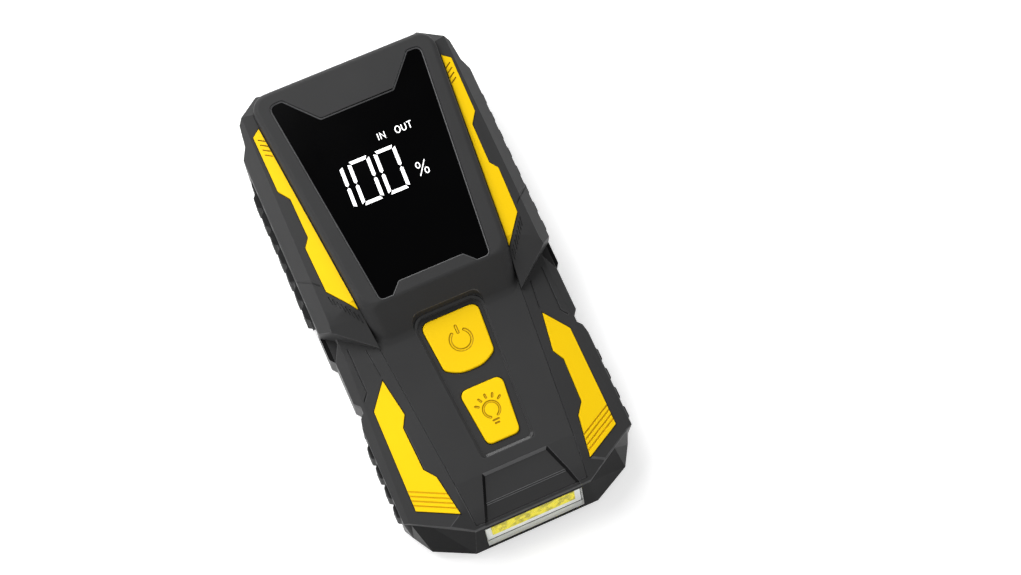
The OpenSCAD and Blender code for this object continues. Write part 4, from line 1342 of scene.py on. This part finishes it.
@dataclass
class ButtonCap:
    """Button cap with a crowned top, a rolled edge and an engraved sign.

    The top is a polar grid: each ray runs from the middle of the cap to its outline, which is read
    from the construction solid's own skirt.
    """

    node: str
    name: str
    body: str
    icon: Icon
    icon_at: Pair
    rays: int = 420
    rings: int = 96
    rim_rings: int = 24
    rim_start: float = 0.9
    edge_r: float = 0.55 * MM
    crown: float = 0.072 * MM
    skirt_rise: float = 1.2 * MM
    groove_w: float = 1.15 * MM
    groove_d: float = 0.32 * MM
    groove_wall: float = 0.26 * MM
    shade: float = 1.6

    def build(self) -> None:
        """Makes the cap, which replaces its node. Its height falls from the middle by the crown times
        the square of the share of the ray, by a quarter round at the edge, and by the groove's depth. The
        mask paints shade on the groove's wall, and is 1 at the wall's middle.
        """
        low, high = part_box(self.node)
        outline = self.outline(high.z)
        centre = outline.mean(0)
        ray = outline - centre
        inner = np.linspace(0, self.rim_start, self.rings - self.rim_rings, endpoint=False)
        share = np.concatenate([inner, np.linspace(self.rim_start, 1, self.rim_rings)])[:, None]
        plan = centre + ray[None] * share[..., None]
        drop = np.clip(1 - np.linalg.norm(ray, axis=1)[None] * (1 - share) / self.edge_r, 0, 1)
        roll = self.edge_r * (1 - np.sqrt(np.clip(1 - drop**2, 0, 1)))
        distance = self.icon.value.distance(plan - self.icon_at)
        depth = self.groove_d * np.clip((self.groove_w / 2 - distance) / self.groove_wall, 0, 1)
        z = high.z - self.crown * share**2 - roll - depth
        base = low.z + self.skirt_rise
        skirt = np.column_stack([outline, np.full(self.rays, base)])
        top = np.dstack([plan, z])[1:].reshape(-1, 3)
        verts = np.vstack([[*centre, z[0, 0]], top, skirt, [*centre, base]])
        piece = new_piece(self.name, (verts, self.faces()), "yellow_engraved", self.body)
        piece.data.shade_smooth()
        # Painted shade on the groove walls, darkest at each wall's middle.
        off_wall = np.abs(distance - self.groove_w / 2 + self.groove_wall / 2) / self.groove_wall
        shadow = np.clip(self.shade - self.shade * off_wall, 0, 1)
        mask = np.concatenate([[shadow[0, 0]], shadow[1:].ravel(), np.zeros(self.rays + 1)])
        write_mask(piece.data, mask, "POINT")
        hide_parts(self.node)

    def outline(self, top: float, below: float = 0.5 * MM, reach: float = 0.05 * MM) -> np.ndarray:
        """Plan outline of the cap at even steps, from the solid's points below its top edge.

        Args:
            top: Height of the cap's top.
            below: How far under it the points lie.
            reach: How far the points may lie from that height.

        Returns:
            The outline, anticlockwise.
        """
        co = points_of(self.node)
        ring = co[np.abs(co[:, 2] - (top - below)) < reach][:, :2]
        ring = ring[np.argsort(np.arctan2(*(ring - (ring.min(0) + ring.max(0)) / 2).T[::-1]))]
        ring = ring[np.linalg.norm(ring - np.roll(ring, 1, 0), axis=1) > MERGE_GAP / 2]
        closed = np.vstack([ring, ring[:1]])
        length = np.concatenate([[0], np.cumsum(np.linalg.norm(np.diff(closed, axis=0), axis=1))])
        at = np.linspace(0, length[-1], self.rays, endpoint=False)
        return np.column_stack([np.interp(at, length, closed[:, k]) for k in (0, 1)])

    def faces(self) -> list:
        """Faces of the cap: a fan round the middle, rows of quads down to the skirt and a closed base.

        Returns:
            The faces, anticlockwise from outside.
        """
        n, this = self.rays, np.arange(self.rays)
        ahead = np.roll(this, -1)
        skirt = 1 + (self.rings - 1) * n
        fan = np.stack([np.zeros(n, int), 1 + this, 1 + ahead], 1)
        under = np.stack([np.full(n, skirt + n), skirt + ahead, skirt + this], 1)
        return fan.tolist() + skin(self.rings, n, start=1).tolist() + under.tolist()


@dataclass
class Buttons:
    """The two engraved caps with their switches and board, and the bevel round their field."""

    field_floor: float = 30.0 * MM
    margin: float = 6 * MM
    bevel: Profile = ((1.23, -0.05), (1.23, 1.0), (1.12, 1.01), (0.15, 0.5), (0.15, -0.05))
    caps: tuple[ButtonCap, ...] = field(default_factory=lambda: (
        ButtonCap("power_button", "power_cap", "power_key", Icon.POWER, (0.4 * MM, -23.4 * MM)),
        ButtonCap("light_button", "light_cap", "light_key", Icon.LAMP, (0.0, -52.7 * MM), groove_w=0.95 * MM),
    ))

    def build(self) -> None:
        """Makes the caps and the bevel, and dresses what is under them. The bevel runs round the hull of
        the panel's points that lie on the field's floor, beside the caps.
        """
        for cap in self.caps:
            cap.build()
        ends = np.array([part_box(cap.node) for cap in self.caps])[..., :2]
        low, high = ends.min((0, 1)) - self.margin, ends.max((0, 1)) + self.margin
        co = points_of("centre_panel")
        on_floor = np.abs(co[:, 2] - self.field_floor) < SLACK
        beside = np.all((co[:, :2] > low) & (co[:, :2] < high), 1)
        plan = distinct(co[on_floor & beside][:, :2])
        hull = plan[convex_hull_2d([Vector(p) for p in plan])]
        new_piece("field_bevel", sweep(hull, self.bevel, self.field_floor), "bevel_gloss")
        dress_nodes(button_switches="component_black", button_board="board_green")


@dataclass
class Step:
    """The bevels of the step that leads down to the work light, and the fine double ridge across it. The head
    bevel and the ridge are a lighter grey as a painted highlight, and the side bevels black as painted shade.
    """

    depth: float = 1.2 * MM
    bevel_w: float = 1.1 * MM
    ridge_w: float = 0.3 * MM
    ridge_h: float = 0.12 * MM
    ridge_gap: float = 0.7 * MM
    sink: float = 0.03 * MM

    def build(self) -> None:
        """Makes the bevel at the head of the step and the ridge in a lighter grey, as a painted highlight,
        and the ones at its sides in black, as painted shade.
        """
        right = self.corners()
        bevels = self.bevels(np.vstack([right * [-1, 1, 1], right[::-1]]))
        # Lighter grey at the head and the ridge is a painted highlight, black at the sides painted shade.
        for name, sections, finish_name in (
            ("step_head", bevels[2:4], "step_painted_highlight"),
            ("step_shade_left", bevels[:3], "black_shell"),
            ("step_shade_right", bevels[3:], "black_shell"),
            ("step_ridge_upper", self.ridge(right, self.ridge_gap / 2), "step_painted_highlight"),
            ("step_ridge_lower", self.ridge(right, -self.ridge_gap / 2), "step_painted_highlight"),
        ):
            new_piece(name, strip_solid(sections), finish_name)

    def corners(self) -> np.ndarray:
        """The corners of the step's right side at its floor, from the light end up: the panel's points
        with another one straight above them at the step's depth.

        Returns:
            The corners.
        """
        co = points_of("centre_panel")
        below_keys = (co[:, 1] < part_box("light_button")[0][1]) & (co[:, 0] > 0)
        co = distinct(co[below_keys])
        apart = np.abs(co[:, None] + [0, 0, self.depth] - co[None]).max(2).min(1)
        found = co[apart < SLACK]
        return found[np.argsort(found[:, 1])]

    def bevels(self, path: np.ndarray) -> np.ndarray:
        """Sections of the wedges in the corner between the step's floor and its walls: the path is
        moved inwards by the bevel's width, and takes the floor's height there.

        Args:
            path: Corners of the step at its floor, up the left side and down the right one.

        Returns:
            One section a corner.
        """
        plan = path[:, :2]
        inner = plan + mitres(plan, ring=False) * self.bevel_w
        inner[[0, -1], 1] = plan[[0, -1], 1]
        floor = np.interp(inner[:, 1], path[:3, 1], path[:3, 2])
        foot = path[:, 2] - self.sink
        corners = (
            (inner, floor - self.sink), (plan, foot), (plan, foot + self.depth), (inner, floor + self.sink),
        )
        return np.stack([np.column_stack(corner) for corner in corners], 1)

    def ridge(self, right: np.ndarray, aside: float) -> np.ndarray:
        """Sections of one line of the ridge: a low bar, narrower at its top, beside the floor's crease.

        Args:
            right: Corners of the step's right side.
            aside: Distance of the line from the crease.

        Returns:
            The sections at its two ends.
        """
        half, low = self.ridge_w / 2, -self.sink
        y = right[1][1] + aside + np.array([-half, half, half / 2, -half / 2])
        z = np.interp(y, right[:, 1], right[:, 2]) + [low, low, self.ridge_h, self.ridge_h]
        x = right[1][0] - self.bevel_w
        return np.stack([np.column_stack([np.full(4, side), y, z]) for side in (-x, x)])


@dataclass
class Trim:
    """The four coloured strips, with painted shade in the grooves near their ends."""

    edge: float = 0.25 * MM
    sharp_angle: float = 24.0
    # Strength of the painted groove shade on each row of strips.
    painted_groove_shade: tuple[tuple[str, float], ...] = (("upper", 1.0), ("lower", 0.45))
    floor_depth: Pair = (0.08 * MM, 0.8 * MM)
    wall_depth: float = 0.03 * MM
    wall_slack: float = 0.02 * MM
    parallel: float = 0.97
    upward: float = 0.5

    def build(self) -> None:
        """Softens the strips and paints shade into their grooves."""
        softener = Softener(self.edge, self.sharp_angle)
        for side in ("left", "right"):
            for row, tone in self.painted_groove_shade:
                names = (f"{row}_strip_{side}", f"{row}_trim_{side}")
                piece = softener.soften(*names, "yellow_engraved", "accent")
                self.paint_groove_shade(piece, tone)

    def paint_groove_shade(self, piece: Piece, tone: float) -> None:
        """Paints shade into a strip's grooves through the mask. The strip's face is its largest upward one. A
        groove's floor is parallel to it and lies a little below it, and the groove's walls share points
        with the floor.

        Args:
            piece: The softened strip.
            tone: Strength of the painted shade in the grooves, from 0 to 1.
        """
        faces = piece.data.polygons
        normal, centre = read(faces, "normal", 3), read(faces, "center", 3)
        face = int(np.where(normal[:, 2] > self.upward, read(faces, "area"), 0.0).argmax())
        depth = (centre[face] - centre) @ normal[face]
        least, most = self.floor_depth
        floor = (normal @ normal[face] > self.parallel) & (depth > least) & (depth < most)
        lowest = depth[floor].max(initial=0.0) + self.wall_slack
        points = {v for k in np.flatnonzero(floor) for v in faces[k].vertices}
        near = np.array([not points.isdisjoint(p.vertices) for p in faces])
        groove = floor | (near & (depth > self.wall_depth) & (depth < lowest))
        # Painted shade in the grooves, at the row's strength.
        write_mask(piece.data, groove * tone)
        LOG.info("toned %d groove faces of %s", groove.sum(), piece.name)


@dataclass
class RubberParts:
    """Ribbed grips and the port flap with its pin."""

    edge: float = 0.4 * MM
    sharp_angle: float = 20.0

    def build(self) -> None:
        """Softens the grips and the flap, and dresses the pin."""
        softener = Softener(self.edge, self.sharp_angle)
        for node in ("upper_grip_right", "lower_grip_left", "lower_grip_right"):
            softener.soften(node, node + "_pad", "black_rubber", "rubber")
        softener.soften("port_cover", "port_flap", "black_rubber", "rubber", "flap")
        dress_nodes(port_cover_pin="ground_pin_steel")


@dataclass
class Ports:
    """Sockets behind the flap."""

    edge: float = 0.25 * MM

    def build(self) -> None:
        """Softens the blue socket and dresses the sockets' metal and inserts."""
        Softener(self.edge).soften("jump_socket", "high_current_socket", "socket_blue", "socket_blue")
        dress_nodes(
            jump_contacts="gold_contact", usb_a_shell="nickel_shell", usb_c_shell="nickel_shell",
            usb_a_tongue="insert_white", usb_c_tongue="component_black", port_board="board_green",
        )


@dataclass
class WorkLight:
    """Lamp in the slanted end: clear window, phosphor band and white board."""

    edge: float = 0.3 * MM
    lining: Profile = ((0.02, -2.9), (0.13, -2.9), (0.13, -0.3), (0.02, -0.3))

    def build(self) -> None:
        """Softens the window and the band, lines the sides of the window's room and dresses the board."""
        self.place_lining()
        softener = Softener(self.edge)
        softener.soften("light_lens", "lamp_window", "clear_window", "lens")
        softener.soften("phosphor_strip", "phosphor_band", "phosphor", "phosphor")
        dress_nodes(light_board="lamp_white")

    def place_lining(self) -> None:
        """Makes the white lining. It is worked out in the window's own frame: its width, its height
        along the slant and its outward normal, which are the axes of the window's section.
        """
        co = points_of("light_lens")
        centre = (co.min(0) + co.max(0)) / 2
        section = co[:, 1:] - centre[1:]
        way = np.linalg.svd(section, full_matrices=False)[2][0]
        up = way * np.sign(way[1])
        out = np.array([-up[1], up[0]])
        half = np.array([np.ptp(co[:, 0]) / 2, np.abs(section @ up).max()])
        outline = half * [[-1, -1], [1, -1], [1, 1], [-1, 1]]
        verts, faces = sweep(outline, self.lining, np.abs(section @ out).max())
        placed = verts @ np.array([[1, 0, 0], [0, *up], [0, *out]]) + centre
        new_piece("lamp_lining", (placed, faces), "lamp_white")


@dataclass
class Interior:
    """What the closed housing holds."""

    def build(self) -> None:
        """Dresses the inner pieces."""
        dress_nodes(
            main_board="board_green", mosfet_bank="component_black", board_capacitors="capacitor_can",
            board_screws="dark_screw_steel", battery_tray="tray_black", battery_cells="cell_foil",
            foam_pad="foam_grey", bus_bars="bare_copper",
        )


@dataclass(frozen=True)
class Lamp:
    """A square soft lamp that faces the pack, with the length of its sides and its power in watts."""

    name: str
    place: Place
    size: float
    power: float

    def build(self) -> None:
        """Puts the lamp into the scene."""
        light = bpy.data.lights.new(self.name, "AREA")
        light.size = self.size
        light.energy = self.power
        lamp = link(self.name, light)
        lamp.location = self.place
        lamp.rotation_euler = (-Vector(self.place)).to_track_quat("-Z", "Y").to_euler()


@dataclass
class Studio:
    """Pale floor, soft lamps and the camera."""

    camera_at: Place = (-0.0724, -0.1903, 0.7659)
    camera_up: float = 74.54
    camera_turn: float = -28.89
    camera_roll: float = 4.99
    lens_mm: float = 70.52
    sensor_mm: float = 36.0
    nearest: float = 0.01
    sky: float = 0.34
    floor_size: float = 6.0
    floor_colour: Colour = (0.86, 0.86, 0.86)
    floor_roughness: float = 0.9
    floor_specular: float = 0.1
    floor_glow: float = 0.45
    lamps: tuple[Lamp, ...] = (
        Lamp("key", (-0.34, 0.60, 0.92), 0.7, 10.2),
        Lamp("fill", (0.8, -0.3, 0.7), 0.9, 1.2),
        Lamp("front", (-0.4, -0.8, 0.4), 0.5, 1.8),
        Lamp("left_rim", (-0.95, 0.28, 0.3), 0.4, 3.0),
        Lamp("back_rim", (0.05, 1.0, 0.34), 0.4, 4.5),
    )

    def build(self) -> None:
        """Makes the floor, the world, the lamps and the camera."""
        self.floor()
        self.world()
        for lamp in self.lamps:
            lamp.build()
        self.camera()
        bpy.context.scene.view_settings.view_transform = "Standard"

    def floor(self) -> None:
        """A wide pale plane at the feet, a little brighter where it is seen than where it lights the pack."""
        s, z = self.floor_size / 2, CAD_BOX[0][2]
        mesh = bpy.data.meshes.new("floor")
        mesh.from_pydata([(-s, -s, z), (s, -s, z), (s, s, z), (-s, s, z)], [], [(0, 1, 2, 3)])
        material = bpy.data.materials.new("pale_floor")
        material.use_nodes = True
        nodes = Nodes(material.node_tree)
        paint = nodes.tree.nodes["Principled BSDF"]
        nodes.wire(paint, {
            "Base Color": self.floor_colour, "Roughness": self.floor_roughness,
            "Specular IOR Level": self.floor_specular,
        })
        strength = nodes.math("MULTIPLY", nodes.background_rays(), self.floor_glow)
        glow = nodes.add("Emission", {"Color": WHITE, "Strength": strength})[0]
        both = nodes.add("AddShader", {0: paint.outputs[0], 1: glow})[0]
        nodes.wire(nodes.tree.nodes["Material Output"], {"Surface": both})
        mesh.materials.append(material)
        floor = link("floor", mesh)

    def world(self) -> None:
        """Even dim sky light, seen as white by the camera, in reflections and through glass."""
        world = bpy.data.worlds.new("studio")
        bpy.context.scene.world = world
        world.use_nodes = True
        nodes = Nodes(world.node_tree)
        strength = nodes.remap(nodes.background_rays(), (0.0, 1.0), (self.sky, 1.0))
        nodes.wire(nodes.tree.nodes["Background"], {"Color": WHITE, "Strength": strength})

    def camera(self) -> None:
        """The camera, turned about the pack by its two angles and rolled."""
        up, turn, roll = (math.radians(a) for a in (self.camera_up, self.camera_turn, self.camera_roll))
        back = Vector((math.sin(turn) * math.cos(up), -math.cos(turn) * math.cos(up), math.sin(up)))
        right = Vector((math.cos(turn), math.sin(turn), 0))
        above = back.cross(right)
        c, s = math.cos(roll), math.sin(roll)
        axes = (right * c + above * s, above * c - right * s, back)
        data = bpy.data.cameras.new("camera")
        data.sensor_width = self.sensor_mm
        data.lens = self.lens_mm
        data.clip_start = self.nearest
        camera = link("camera", data)
        camera.matrix_world = Matrix.Translation(self.camera_at) @ Matrix(axes).transposed().to_4x4()
        bpy.context.scene.camera = camera


def main() -> None:
    """Builds the assemblies in order."""
    logging.basicConfig(level=logging.INFO, format="%(name)s: %(message)s")
    for assembly in (Studio, Housing, Screen, Buttons, Step, Trim, RubberParts, Ports, WorkLight, Interior):
        assembly().build()
        LOG.info("built %s", assembly.__name__)


if __name__ == "__main__":
    main()
